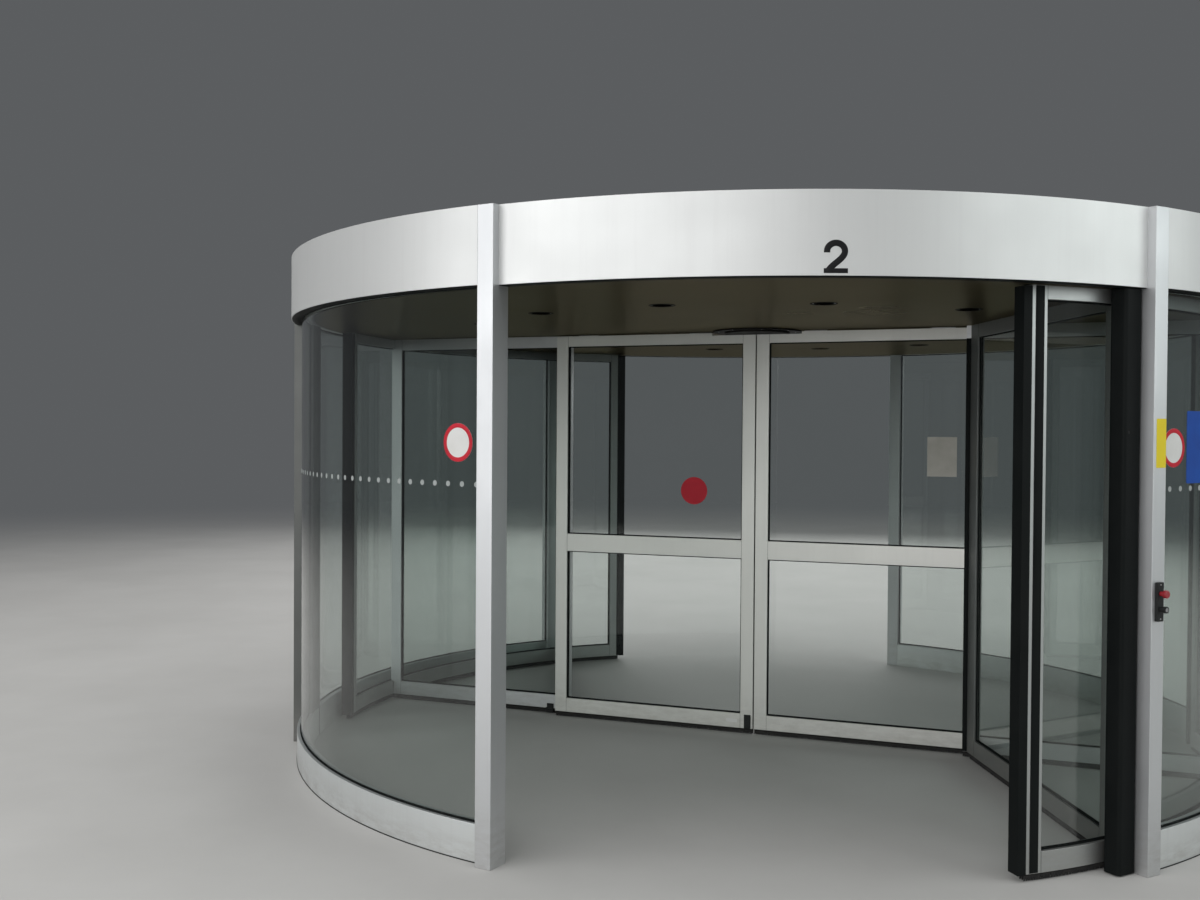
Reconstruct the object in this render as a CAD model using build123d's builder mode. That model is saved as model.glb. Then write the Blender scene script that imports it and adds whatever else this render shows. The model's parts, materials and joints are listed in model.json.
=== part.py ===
"""Automatic revolving door with two display bays and a sliding door between them.

The drum stands still: four opening posts, two wall posts, curved glass on a kerb, and a canopy.
The rotor turns inside it about +Z. Its wall runs through the middle and holds two sliding leaves
that meet on the axis. A glazed bay with a curved outer wall stands at each end of that wall.
Origin: drum centre on the floor, +Z up, -Y towards the entrance in the photograph.
Lengths are millimetres, angles are degrees.
"""

import os
from math import asin, cos, degrees, radians, sin, sqrt

from build123d import *

os.makedirs("parts", exist_ok=True)

# Drum: heights
clear_height = 2200.0
canopy_height = 300.0
kerb_height = 150.0
plate_thickness = 4.0
roof_set_down = 6.0

# Drum: radius of the posts' outer faces, and how far the other outer faces stand back from it
post_radius = 2464.0
side_fascia_setback = 4.0
centre_fascia_setback = 36.0
kerb_setback = 36.0
drum_glass_setback = 54.0
safety_edge_setback = 53.0

# Drum: widths and thicknesses
post_depth = 98.0
post_width = 73.0
opening_half_angle = 29.88
kerb_width = 60.0
drum_glass_thickness = 12.0
ring_thickness = 8.0
wall_post_depth = 95.0
wall_post_width = 160.0
wall_post_front = -260.0
safety_edge_width = 94.0
safety_edge_depth = 73.0
safety_edge_corner = 13.0
safety_edge_gap = 5.0

# Drum: stop button and key switch on the front right post
button_height = 1062.0
button_key_spacing = 58.0
button_plate_width = 34.0
button_plate_thickness = 12.0
button_plate_corner = 4.0
plate_over_button = 42.0
plate_under_key = 46.0
button_collar_radius = 9.0
button_collar_reach = 16.0
button_head_radius = 15.0
button_head_reach = 14.0
button_head_round = 5.0
key_collar_radius = 9.0
key_collar_reach = 16.0
key_barrel_radius = 12.5
key_barrel_reach = 10.0

# Bearing in the canopy
beam_width = 160.0
beam_height = 120.0
beam_clearance = 100.0
beam_wall = 8.0
housing_radius = 130.0
housing_drop = 20.0
spindle_radius = 79.95
bore_clearance = 0.05
collar_radius = 110.0
collar_thickness = 20.0
collar_gap = 0.3
spindle_flange_radius = 200.0
spindle_flange_thickness = 20.0

# Rotor: shared values
wall_angle = -20.0
ceiling_gap = 8.0
ceiling_thickness = 20.0
frame_thickness = 40.0
stile_width = 70.0
head_rail_height = 65.0
foot_rail_height = 80.0
floor_gap = 30.0
pane_thickness = 10.0
centre_cover_radius = 240.0
centre_cover_thickness = 5.0
cover_core_radius = 175.0
cover_core_depth = 8.0

# Rotor: sliding leaves
slide_travel = 1050.0
open_leaf_gap = 53.0
meeting_gap = 6.0
leaf_head_gap = 6.0
mid_rail_top = 1060.0
mid_rail_height = 100.0
hanger_inset = 190.0
hanger_length = 120.0
hanger_thickness = 8.0
slot_width = 28.0
slot_margin = 12.0
slot_cover_gap = 8.0
track_offset = 18.0
track_width = 22.0
track_height = 20.0
wheel_radius = 20.0
wheel_width = 14.0
wheel_seat = 0.3
axle_radius = 8.0

# Rotor: display bays
panel_gap = 10.0
bay_wall_gap = 13.0
bay_wall_thickness = 50.0
curved_head_height = 52.0
panel_glass_gap = 1.0
tail_angle = -52.05
lead_angle = 14.5
edge_width = 36.0
edge_swell = 4.0
inner_wall_angle = -39.2
inner_wall_inset = 35.0

# Worked out: drum
total_height = clear_height + canopy_height
roof_top = total_height - roof_set_down
roof_bottom = roof_top - plate_thickness
side_fascia_radius = post_radius - side_fascia_setback
centre_fascia_radius = post_radius - centre_fascia_setback
kerb_radius = post_radius - kerb_setback
drum_glass_radius = post_radius - drum_glass_setback
safety_edge_radius = post_radius - safety_edge_setback
ring_radius = post_radius - post_depth
ring_inner_radius = ring_radius - ring_thickness
post_angle = opening_half_angle + degrees(asin(post_width / 2 / post_radius))
wall_post_middle = wall_post_front + wall_post_width / 2
wall_post_angle = degrees(asin(-wall_post_middle / side_fascia_radius))

# Worked out: stop button and key switch
key_height = button_height - button_key_spacing
button_plate_bottom = key_height - plate_under_key
button_plate_top = button_height + plate_over_button

# Worked out: bearing and rotor ceiling
ceiling_radius = ring_inner_radius - ceiling_gap
ceiling_top = clear_height + ceiling_thickness
spindle_bore = spindle_radius + bore_clearance
beam_bottom = ceiling_top + beam_clearance
beam_top = beam_bottom + beam_height

# Worked out: bays
head_rail_bottom = clear_height - head_rail_height
curved_head_bottom = clear_height - curved_head_height
foot_rail_top = floor_gap + foot_rail_height
panel_offset = frame_thickness + panel_gap
bay_wall_radius = safety_edge_radius - safety_edge_depth - bay_wall_gap
bay_inner_radius = bay_wall_radius - bay_wall_thickness
curved_glass_radius = bay_wall_radius - (bay_wall_thickness - pane_thickness) / 2
curved_glass_inner = curved_glass_radius - pane_thickness

# Worked out: leaves, with their hangers and wheels
leaf_reach = bay_inner_radius - open_leaf_gap - slide_travel
cover_bottom = clear_height - centre_cover_thickness - cover_core_depth
leaf_top = clear_height - leaf_head_gap
leaf_low_top = cover_bottom - leaf_head_gap
leaf_width = leaf_reach - meeting_gap / 2
leaf_middle = (leaf_reach + meeting_gap / 2) / 2
slot_start = centre_cover_radius + slot_cover_gap
hanger_places = (slot_start + slot_margin + hanger_length / 2, leaf_reach - hanger_inset)
slot_end = hanger_places[1] + slide_travel + hanger_length / 2 + slot_margin
slot_middle = (slot_start + slot_end) / 2
wheel_height = ceiling_top + track_height + wheel_seat + wheel_radius
hanger_top = wheel_height + wheel_radius


def save(piece, name):
    """Label a finished piece and write it as parts/name.step."""
    piece.part.label = name
    export_step(piece.part, f"parts/{name}.step")


def rotor_plane(side, height):
    """Level plane with +X along the rotor's wall: side 1 points to the right bay, -1 to the left."""
    along = (side * cos(radians(wall_angle)), side * sin(radians(wall_angle)), 0)
    return Plane(origin=(0, 0, height), x_dir=along, z_dir=(0, 0, 1))


def ring_sector(inner, outer, start, end):
    """Flat face between two radii and two angles."""
    with BuildSketch() as sector:
        with BuildLine():
            far = CenterArc((0, 0), outer, start, end - start)
            near = CenterArc((0, 0), inner, start, end - start)
            Line(far @ 0, near @ 0)
            Line(far @ 1, near @ 1)
        make_face()
    return sector.sketch


def post_block(angle):
    """Opening post at an angle, from the floor to the top of the canopy."""
    with BuildPart() as post:
        with BuildSketch(Plane.XY):
            with Locations(Rotation(0, 0, angle)):
                with Locations((ring_radius + post_depth / 2, 0)):
                    Rectangle(post_depth, post_width)
        extrude(amount=total_height)
    return post


# Opening posts, one at each end of both openings
post_places = {
    "front_left": -90 - post_angle,
    "front_right": -90 + post_angle,
    "rear_right": 90 - post_angle,
    "rear_left": 90 + post_angle,
}
posts = {}
for place, angle in post_places.items():
    posts[place] = post_block(angle)
    save(posts[place], f"{place}_post")

# Wall posts, where the drum meets the building
wall_posts = {}
for side, place in ((-1, "left"), (1, "right")):
    with BuildPart() as wall_post:
        with BuildSketch(Plane.XY):
            with Locations((side * (side_fascia_radius - wall_post_depth / 2), wall_post_middle)):
                Rectangle(wall_post_depth, wall_post_width)
        extrude(amount=total_height)
    wall_posts[place] = wall_post
    save(wall_post, f"{place}_wall_post")

# The drum's curved runs, each from an opening post to a wall post
wall_angles = {
    "front_left": -180 + wall_post_angle,
    "front_right": -wall_post_angle,
    "rear_right": -wall_post_angle,
    "rear_left": 180 + wall_post_angle,
}


def fascia_profile(radius, start, end, *neighbours):
    """Canopy casing: an outer skin with a lip under it and a lip over it, back to the ring."""
    with BuildPart() as casing:
        with BuildSketch(Plane.XY.offset(clear_height)):
            add(ring_sector(ring_radius, radius, start, end))
        extrude(amount=canopy_height)
        with BuildSketch(Plane.XY.offset(clear_height + plate_thickness)):
            add(ring_sector(ring_radius, radius - plate_thickness, start, end))
        extrude(amount=canopy_height - 2 * plate_thickness, mode=Mode.SUBTRACT)
        for neighbour in neighbours:
            add(neighbour.part, mode=Mode.SUBTRACT)
    return casing


for place, opening_angle in post_places.items():
    start, end = sorted((opening_angle, wall_angles[place]))
    wall_post = wall_posts[place.split("_")[1]]
    with BuildPart() as kerb:
        with BuildSketch(Plane.XY):
            add(ring_sector(kerb_radius - kerb_width, kerb_radius, start, end))
        extrude(amount=kerb_height)
        add(posts[place].part, mode=Mode.SUBTRACT)
        add(wall_post.part, mode=Mode.SUBTRACT)
    save(kerb, f"{place}_kerb")

    with BuildPart() as drum_glass:
        with BuildSketch(Plane.XY.offset(kerb_height)):
            add(ring_sector(drum_glass_radius - drum_glass_thickness, drum_glass_radius, start, end))
        extrude(amount=clear_height - kerb_height)
        add(posts[place].part, mode=Mode.SUBTRACT)
        add(wall_post.part, mode=Mode.SUBTRACT)
    save(drum_glass, f"{place}_glass")

    fascia = fascia_profile(side_fascia_radius, start, end, posts[place], wall_post)
    save(fascia, f"{place}_fascia")

front_fascia = fascia_profile(
    centre_fascia_radius, -90 - post_angle, -90 + post_angle, posts["front_left"], posts["front_right"]
)
save(front_fascia, "front_fascia")
rear_fascia = fascia_profile(
    centre_fascia_radius, 90 - post_angle, 90 + post_angle, posts["rear_left"], posts["rear_right"]
)
save(rear_fascia, "rear_fascia")

# Safety edges: soft strips on the two posts that the bays close against
edge_middle = (safety_edge_radius - safety_edge_depth / 2, -post_width / 2 - safety_edge_width / 2)
with BuildPart() as safety_edges:
    with BuildSketch(Plane.XY.offset(safety_edge_gap)):
        with Locations(Rotation(0, 0, -90 + post_angle), Rotation(0, 0, 90 + post_angle)):
            with Locations(edge_middle):
                RectangleRounded(safety_edge_depth, safety_edge_width, safety_edge_corner)
    extrude(amount=clear_height - 2 * safety_edge_gap)
save(safety_edges, "safety_edges")

# Stop button and key switch on the outer face of the front right post
button_angle = -90 + post_angle
outwards = (cos(radians(button_angle)), sin(radians(button_angle)), 0)
post_face = Plane(
    origin=(post_radius * outwards[0], post_radius * outwards[1], 0),
    x_dir=(-outwards[1], outwards[0], 0),
    z_dir=outwards,
)
plate_face = post_face.offset(button_plate_thickness)

with BuildPart() as button_plate:
    with BuildSketch(post_face):
        with Locations((0, (button_plate_bottom + button_plate_top) / 2)):
            RectangleRounded(
                button_plate_width, button_plate_top - button_plate_bottom, button_plate_corner
            )
    extrude(amount=button_plate_thickness)
save(button_plate, "button_plate")

with BuildPart() as stop_button:
    with BuildSketch(plate_face):
        with Locations((0, button_height)):
            Circle(button_collar_radius)
    extrude(amount=button_collar_reach)
    with BuildSketch(plate_face.offset(button_collar_reach)):
        with Locations((0, button_height)):
            Circle(button_head_radius)
    extrude(amount=button_head_reach)
    rim = stop_button.edges().filter_by(GeomType.CIRCLE).group_by(Axis((0, 0, 0), outwards))[-1]
    fillet(rim, radius=button_head_round)
save(stop_button, "stop_button")

with BuildPart() as key_switch:
    with BuildSketch(plate_face):
        with Locations((0, key_height)):
            Circle(key_collar_radius)
    extrude(amount=key_collar_reach)
    with BuildSketch(plate_face.offset(key_collar_reach)):
        with Locations((0, key_height)):
            Circle(key_barrel_radius)
    extrude(amount=key_barrel_reach)
save(key_switch, "key_switch")

# Canopy ring, roof and the beam that carries the rotor
with BuildPart() as canopy_ring:
    with BuildSketch(Plane.XY.offset(clear_height)):
        Circle(ring_radius)
        Circle(ring_inner_radius, mode=Mode.SUBTRACT)
    extrude(amount=roof_bottom - clear_height)
save(canopy_ring, "canopy_ring")

with BuildPart() as roof_cover:
    with BuildSketch(Plane.XY.offset(roof_bottom)):
        Circle(ring_radius)
    extrude(amount=plate_thickness)
save(roof_cover, "roof_cover")

with BuildPart() as bearing_beam:
    with BuildSketch(Plane.XY.offset(beam_bottom)):
        Rectangle(2 * ring_radius, beam_width)
    extrude(amount=beam_height)
    with BuildSketch(Plane.XY.offset(beam_bottom + beam_wall)):
        Rectangle(2 * ring_radius, beam_width - 2 * beam_wall)
    extrude(amount=beam_height - 2 * beam_wall, mode=Mode.SUBTRACT)
    with BuildSketch(Plane.XY.offset(beam_bottom)):
        Circle(ring_inner_radius)
    extrude(amount=beam_height, mode=Mode.INTERSECT)
    with BuildSketch(Plane.XY.offset(beam_bottom - housing_drop)):
        Circle(housing_radius)
    extrude(amount=beam_height + housing_drop)
    with BuildSketch(Plane.XY.offset(beam_bottom - housing_drop)):
        Circle(spindle_bore)
    extrude(amount=beam_height + housing_drop, mode=Mode.SUBTRACT)
save(bearing_beam, "bearing_beam")

# Rotor: ceiling, spindle and centre cover
with BuildPart() as rotor_ceiling:
    with BuildSketch(Plane.XY.offset(clear_height)):
        Circle(ceiling_radius)
    extrude(amount=ceiling_thickness)
    for side in (-1, 1):
        with BuildSketch(rotor_plane(side, clear_height)):
            with Locations((slot_middle, 0)):
                Rectangle(slot_end - slot_start, slot_width)
        extrude(amount=ceiling_thickness, mode=Mode.SUBTRACT)
save(rotor_ceiling, "rotor_ceiling")

with BuildPart() as rotor_spindle:
    with BuildSketch(Plane.XY.offset(ceiling_top)):
        Circle(spindle_flange_radius)
    extrude(amount=spindle_flange_thickness)
    with BuildSketch(Plane.XY.offset(ceiling_top + spindle_flange_thickness)):
        Circle(spindle_radius)
    extrude(amount=beam_top + collar_gap - ceiling_top - spindle_flange_thickness)
    with BuildSketch(Plane.XY.offset(beam_top + collar_gap)):
        Circle(collar_radius)
    extrude(amount=collar_thickness)
save(rotor_spindle, "rotor_spindle")

with BuildPart() as centre_cover:
    with BuildSketch(Plane.XY.offset(clear_height - centre_cover_thickness)):
        Circle(centre_cover_radius)
    extrude(amount=centre_cover_thickness)
    with BuildSketch(Plane.XY.offset(cover_bottom)):
        Circle(cover_core_radius)
    extrude(amount=cover_core_depth)
save(centre_cover, "centre_cover")

with BuildPart() as leaf_tracks:
    for side in (-1, 1):
        with BuildSketch(rotor_plane(side, ceiling_top)):
            with Locations((slot_middle, track_offset + track_width / 2)):
                Rectangle(slot_end - slot_start, track_width)
        extrude(amount=track_height)
save(leaf_tracks, "leaf_tracks")

# Plan of a bay: the straight panel, and the slanting wall from its inner end to the curved wall
panel_start = leaf_reach - stile_width
panel_end = sqrt(bay_inner_radius**2 - (panel_offset + frame_thickness / 2) ** 2)
panel_middle = (panel_start + panel_end) / 2
panel_length = panel_end - panel_start
panel_reach = sqrt(
    (curved_glass_inner - panel_glass_gap) ** 2 - (panel_offset + frame_thickness / 2) ** 2
)
pane_start = panel_start + stile_width
pane_end = panel_reach - stile_width
pane_middle = (pane_start + pane_end) / 2
pane_length = pane_end - pane_start
panel_back = -panel_offset - frame_thickness / 2
near_point = (panel_start + inner_wall_inset, -panel_offset)
far_point = (
    bay_inner_radius * cos(radians(inner_wall_angle)),
    bay_inner_radius * sin(radians(inner_wall_angle)),
)
inner_wall_length = sqrt((far_point[0] - near_point[0]) ** 2 + (far_point[1] - near_point[1]) ** 2)
inner_wall_slope = degrees(asin((far_point[1] - near_point[1]) / inner_wall_length))
inner_pane_start = stile_width + frame_thickness
inner_pane_end = inner_wall_length - stile_width

# Plan of a bay: the curved wall's end posts and soft edges
edge_sweep = degrees(edge_width / bay_wall_radius)
post_sweep = degrees(stile_width / bay_wall_radius)
tail_post = tail_angle + edge_sweep
lead_post = lead_angle - edge_sweep


def slanting_block(side, width, start, end, bottom, top):
    """Upright block along a bay's slanting wall, trimmed by the panel and the curved wall."""
    with BuildPart() as block:
        with BuildSketch(rotor_plane(side, bottom)):
            with Locations(Location((near_point[0], near_point[1], 0), (0, 0, inner_wall_slope))):
                with Locations(((start + end) / 2, 0)):
                    Rectangle(end - start, width)
            Circle(bay_inner_radius, mode=Mode.INTERSECT)
            with Locations((bay_wall_radius / 2, panel_back + bay_wall_radius / 2)):
                Rectangle(2 * bay_wall_radius, bay_wall_radius, mode=Mode.SUBTRACT)
        extrude(amount=top - bottom)
    return block


# Rotor: the two sliding leaves and the two display bays
leaf_windows = ((foot_rail_top, mid_rail_top - mid_rail_height), (mid_rail_top, head_rail_bottom))
for side, name in ((-1, "left"), (1, "right")):
    with BuildPart() as leaf_frame:
        with BuildSketch(rotor_plane(side, floor_gap)):
            with Locations((leaf_middle, 0)):
                Rectangle(leaf_width, frame_thickness)
        extrude(amount=leaf_top - floor_gap)
        with BuildSketch(rotor_plane(side, leaf_low_top)):
            with Locations((slot_start / 2, 0)):
                Rectangle(slot_start, frame_thickness)
        extrude(amount=leaf_top - leaf_low_top, mode=Mode.SUBTRACT)
        for bottom, top in leaf_windows:
            with BuildSketch(rotor_plane(side, bottom)):
                with Locations((leaf_middle, 0)):
                    Rectangle(leaf_width - 2 * stile_width, frame_thickness)
            extrude(amount=top - bottom, mode=Mode.SUBTRACT)
    save(leaf_frame, f"{name}_leaf_frame")

    with BuildPart() as leaf_glass:
        for bottom, top in leaf_windows:
            with BuildSketch(rotor_plane(side, bottom)):
                with Locations((leaf_middle, 0)):
                    Rectangle(leaf_width - 2 * stile_width, pane_thickness)
            extrude(amount=top - bottom)
    save(leaf_glass, f"{name}_leaf_glass")

    # Two hanger plates a leaf, each with a wheel that runs on the track over the ceiling
    wheel_plane = Plane(
        origin=(0, 0, wheel_height),
        x_dir=rotor_plane(side, 0).x_dir,
        z_dir=rotor_plane(side, 0).y_dir,
    )
    with BuildPart() as leaf_carriage:
        with BuildSketch(rotor_plane(side, leaf_top)):
            for place in hanger_places:
                with Locations((place, 0)):
                    Rectangle(hanger_length, hanger_thickness)
        extrude(amount=hanger_top - leaf_top)
        with BuildSketch(wheel_plane.offset(hanger_thickness / 2)):
            for place in hanger_places:
                with Locations((place, 0)):
                    Circle(axle_radius)
        extrude(amount=track_offset - hanger_thickness / 2)
        with BuildSketch(wheel_plane.offset(track_offset)):
            for place in hanger_places:
                with Locations((place, 0)):
                    Circle(wheel_radius)
        extrude(amount=wheel_width)
    save(leaf_carriage, f"{name}_leaf_carriage")

    # Straight panel that the open leaf parks beside; its outer stile reaches the curved glass
    with BuildPart() as panel_frame:
        with BuildSketch(rotor_plane(side, floor_gap)):
            with Locations((panel_middle, -panel_offset)):
                Rectangle(panel_length, frame_thickness)
        extrude(amount=clear_height - floor_gap)
        with BuildSketch(rotor_plane(side, foot_rail_top)):
            with Locations(((panel_end + panel_reach) / 2, -panel_offset)):
                Rectangle(panel_reach - panel_end, frame_thickness)
        extrude(amount=curved_head_bottom - foot_rail_top)
        with BuildSketch(rotor_plane(side, foot_rail_top)):
            with Locations((pane_middle, -panel_offset)):
                Rectangle(pane_length, frame_thickness)
        extrude(amount=head_rail_bottom - foot_rail_top, mode=Mode.SUBTRACT)
    save(panel_frame, f"{name}_panel_frame")

    # Slanting wall from the panel's inner end to the curved wall
    wall = slanting_block(
        side, frame_thickness, 0, inner_wall_length + frame_thickness, floor_gap, clear_height
    )
    window = slanting_block(
        side, frame_thickness, inner_pane_start, inner_pane_end, foot_rail_top, head_rail_bottom
    )
    pane = slanting_block(
        side, pane_thickness, inner_pane_start, inner_pane_end, foot_rail_top, head_rail_bottom
    )
    with BuildPart() as wall_frame:
        add(wall.part)
        add(window.part, mode=Mode.SUBTRACT)
    save(wall_frame, f"{name}_bay_wall_frame")

    with BuildPart() as bay_panes:
        with BuildSketch(rotor_plane(side, foot_rail_top)):
            with Locations((pane_middle, -panel_offset)):
                Rectangle(pane_length, pane_thickness)
        extrude(amount=head_rail_bottom - foot_rail_top)
        add(pane.part)
    save(bay_panes, f"{name}_bay_panes")

    # Curved outer wall with an end post and a soft edge at each end
    with BuildPart() as curved_frame:
        with BuildSketch(rotor_plane(side, floor_gap)):
            add(ring_sector(bay_inner_radius, bay_wall_radius, tail_post, lead_post))
        extrude(amount=clear_height - floor_gap)
        with BuildSketch(rotor_plane(side, foot_rail_top)):
            add(
                ring_sector(
                    bay_inner_radius, bay_wall_radius, tail_post + post_sweep, lead_post - post_sweep
                )
            )
        extrude(amount=curved_head_bottom - foot_rail_top, mode=Mode.SUBTRACT)
    save(curved_frame, f"{name}_curved_frame")

    with BuildPart() as curved_glass:
        with BuildSketch(rotor_plane(side, foot_rail_top)):
            add(
                ring_sector(
                    curved_glass_inner, curved_glass_radius, tail_post + post_sweep, lead_post - post_sweep
                )
            )
        extrude(amount=curved_head_bottom - foot_rail_top)
    save(curved_glass, f"{name}_curved_glass")

    with BuildPart() as soft_edges:
        for start, end in ((tail_angle, tail_post), (lead_post, lead_angle)):
            with BuildSketch(rotor_plane(side, floor_gap)):
                add(ring_sector(bay_inner_radius - edge_swell, bay_wall_radius + edge_swell, start, end))
            extrude(amount=clear_height - floor_gap - safety_edge_gap)
    save(soft_edges, f"{name}_soft_edges")
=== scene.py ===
import json
from math import atan2, ceil, cos, hypot, pi, radians, sin, sqrt

import bmesh
import bpy
from mathutils import Matrix, Vector
from mathutils.geometry import interpolate_bezier


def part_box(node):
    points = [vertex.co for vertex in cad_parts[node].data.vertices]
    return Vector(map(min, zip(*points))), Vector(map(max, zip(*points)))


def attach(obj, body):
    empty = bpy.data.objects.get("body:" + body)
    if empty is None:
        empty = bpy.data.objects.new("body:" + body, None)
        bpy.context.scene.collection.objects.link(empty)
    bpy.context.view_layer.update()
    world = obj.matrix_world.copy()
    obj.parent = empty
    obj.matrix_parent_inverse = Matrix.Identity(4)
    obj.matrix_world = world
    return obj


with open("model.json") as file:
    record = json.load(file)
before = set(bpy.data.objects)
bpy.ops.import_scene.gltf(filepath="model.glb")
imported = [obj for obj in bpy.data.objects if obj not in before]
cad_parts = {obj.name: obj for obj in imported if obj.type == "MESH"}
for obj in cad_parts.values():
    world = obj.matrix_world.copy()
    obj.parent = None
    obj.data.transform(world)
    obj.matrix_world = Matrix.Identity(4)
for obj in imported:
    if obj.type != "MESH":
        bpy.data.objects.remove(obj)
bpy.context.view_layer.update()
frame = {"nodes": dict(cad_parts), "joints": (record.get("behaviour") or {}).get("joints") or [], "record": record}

scene = bpy.context.scene
nodes = frame["nodes"]
up = Vector((0, 0, 1))
mm = 0.001
radiusGrain = 2 * mm  # radii closer than this are one skin of a curved wall
onLine = 1e-9         # offset of a surface on its own line, which only says where it faces
print("frame loaded:", len(nodes), "nodes")

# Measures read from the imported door

joints = {joint["name"]: joint for joint in frame["joints"]}
wallDirection = Vector(joints["right_leaf_slide"]["axis"])
wallTurn = atan2(wallDirection.y, wallDirection.x)
sideTurn = {  # each half of the rotor in its own frame, x outwards along the wall
    "right": Matrix.Rotation(wallTurn, 4, "Z"),
    "left": Matrix.Rotation(wallTurn + pi, 4, "Z"),
}
still = Matrix()


def levels(values, grain=0.4 * mm):
    # the different values in a list, lowest first; what lies within a grain counts as one
    found = []
    for value in sorted(values):
        if not found or value - found[-1] > grain:
            found.append(value)
    return found


def span(values):
    found = list(values)
    return min(found), max(found)


def localPoints(node, turn=still):
    back = turn.inverted()
    return [back @ vertex.co for vertex in nodes[node].data.vertices]


def radiusOf(point):
    return hypot(point.x, point.y)


def angleOf(point):
    return atan2(point.y, point.x)


# A surface is a function of s along it, v up it and w out of it: it gives a point and where that faces

def straightSurface(start, end, offset, turn=still):
    # face of a wall from start to end on the plan, offset to the left of that run, or right if negative
    run = (end - start).normalized()
    facing = up.cross(run) * (1 if offset > 0 else -1)
    turnOnly = turn.to_3x3()

    def place(s, v, w=0.0):
        point = start + run * s + facing * (abs(offset) + w) + up * v
        return turn @ point, turnOnly @ facing

    return place


def roundSurface(radius, inside=False, turn=still):
    # face of a drum about the axis: s is the arc from angle 0 of the turned frame, at that radius
    sense = -1 if inside else 1
    turnOnly = turn.to_3x3()

    def place(s, v, w=0.0):
        out = Vector((cos(s / radius), sin(s / radius), 0))
        point = out * (radius + sense * w) + up * v
        return turn @ point, turnOnly @ (out * sense)

    return place


def levelSurface(height, facingDown=False):
    # floor or ceiling: s and v are x and y
    facing = -up if facingDown else up

    def place(s, v, w=0.0):
        return Vector((s, v, height)) + facing * w, facing

    return place


# Paths over a surface, with the points between corners that a round surface needs

arcStep = 45 * mm
onePerPath = 0.5  # spacing on a path that is too short for a second stud


def tracePath(place, corners, closed=False, step=None):
    points = []
    ends = corners[1:] + corners[:1] if closed else corners[1:]
    for here, there in zip(corners, ends):
        pieces = max(1, ceil(abs(there[0] - here[0]) / step)) if step else 1
        for index in range(pieces):
            share = index / pieces
            spot = [a + (b - a) * share for a, b in zip(here, there)]
            points.append((*place(*spot), 1.0 if index == 0 else 0.0))
    if not closed:
        points.append((*place(*corners[-1]), 1.0))
    return {"points": points, "closed": closed}


def windowPath(window, inset, lift):
    s0, s1, v0, v1 = window["rect"]
    corners = [
        (s0 + inset, v0 + inset, lift),
        (s1 - inset, v0 + inset, lift),
        (s1 - inset, v1 - inset, lift),
        (s0 + inset, v1 - inset, lift),
    ]
    return tracePath(window["place"], corners, closed=True, step=window["step"])


def uprightPath(place, s, low, high, lift=0.0):
    return tracePath(place, [(s, low, lift), (s, high, lift)])


def faced(path, way):
    # the same path with every point facing one way
    path["points"] = [(point, way, corner) for point, facing, corner in path["points"]]
    return path


def uncornered(path):
    # the same path with its points as a smooth run, so that none of them is rounded as a corner
    path["points"] = [(point, facing, 0.0) for point, facing, corner in path["points"]]
    return path


def spotPath(place, s, v, length=mm):
    # a path too short for more than one stud, which stands at its far end
    return tracePath(place, [(s, v, 0.0), (s + length, v, 0.0)])


def circlePath(place, centre, radius, lift, sides):
    turns = [2 * pi * index / sides for index in range(sides)]
    corners = [(centre[0] + radius * cos(t), centre[1] + radius * sin(t), lift) for t in turns]
    return uncornered(tracePath(place, corners, closed=True))


# Node trees

def pick(sockets, key):
    if isinstance(key, int):
        return sockets[key]
    return next(socket for socket in sockets if socket.name == key and socket.enabled)


def fill(node, inputs):
    # each input gets a link or a value
    for key, value in inputs.items():
        socket = pick(node.inputs, key)
        if isinstance(value, bpy.types.NodeSocket):
            node.id_data.links.new(value, socket)
        else:
            socket.default_value = value


def put(tree, kind, inputs=None, **settings):
    # add a node, set it up and give back its first live output
    node = tree.nodes.new(kind)
    for key, value in settings.items():
        setattr(node, key, value)
    fill(node, inputs or {})
    return next(socket for socket in node.outputs if socket.enabled)


def times(tree, first, second):
    return put(tree, "ShaderNodeMath", {0: first, 1: second}, operation="MULTIPLY")


def newPathTree(name, sizes, finishes=("Finish",)):
    tree = bpy.data.node_groups.new(name, "GeometryNodeTree")
    tree.interface.new_socket("Path", in_out="INPUT", socket_type="NodeSocketGeometry")
    sockets = {}
    for label, value in sizes.items():
        kind = "NodeSocketInt" if isinstance(value, int) else "NodeSocketFloat"
        socket = tree.interface.new_socket(label, in_out="INPUT", socket_type=kind)
        socket.default_value = value
        sockets[label] = socket.identifier
    for label in finishes:
        socket = tree.interface.new_socket(label, in_out="INPUT", socket_type="NodeSocketMaterial")
        sockets[label] = socket.identifier
    tree.interface.new_socket("Geometry", in_out="OUTPUT", socket_type="NodeSocketGeometry")
    entry = tree.nodes.new("NodeGroupInput")
    given = {socket.name: socket for socket in entry.outputs if socket.name}
    return tree, given, sockets


def attributeOf(tree, name, kind):
    return put(tree, "GeometryNodeInputNamedAttribute", {"Name": name}, data_type=kind)


def endTree(tree, parts):
    # parts are (geometry, material) pairs, made real and joined
    finished = []
    for geometry, finish in parts:
        real = put(tree, "GeometryNodeRealizeInstances", {"Geometry": geometry})
        finished.append(put(tree, "GeometryNodeSetMaterial", {"Geometry": real, "Material": finish}))
    exit = tree.nodes.new("NodeGroupOutput")
    if len(finished) == 1:
        tree.links.new(finished[0], exit.inputs[0])
        return
    joined = tree.nodes.new("GeometryNodeJoinGeometry")
    for geometry in finished:
        tree.links.new(geometry, joined.inputs[0])
    tree.links.new(joined.outputs[0], exit.inputs[0])


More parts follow.
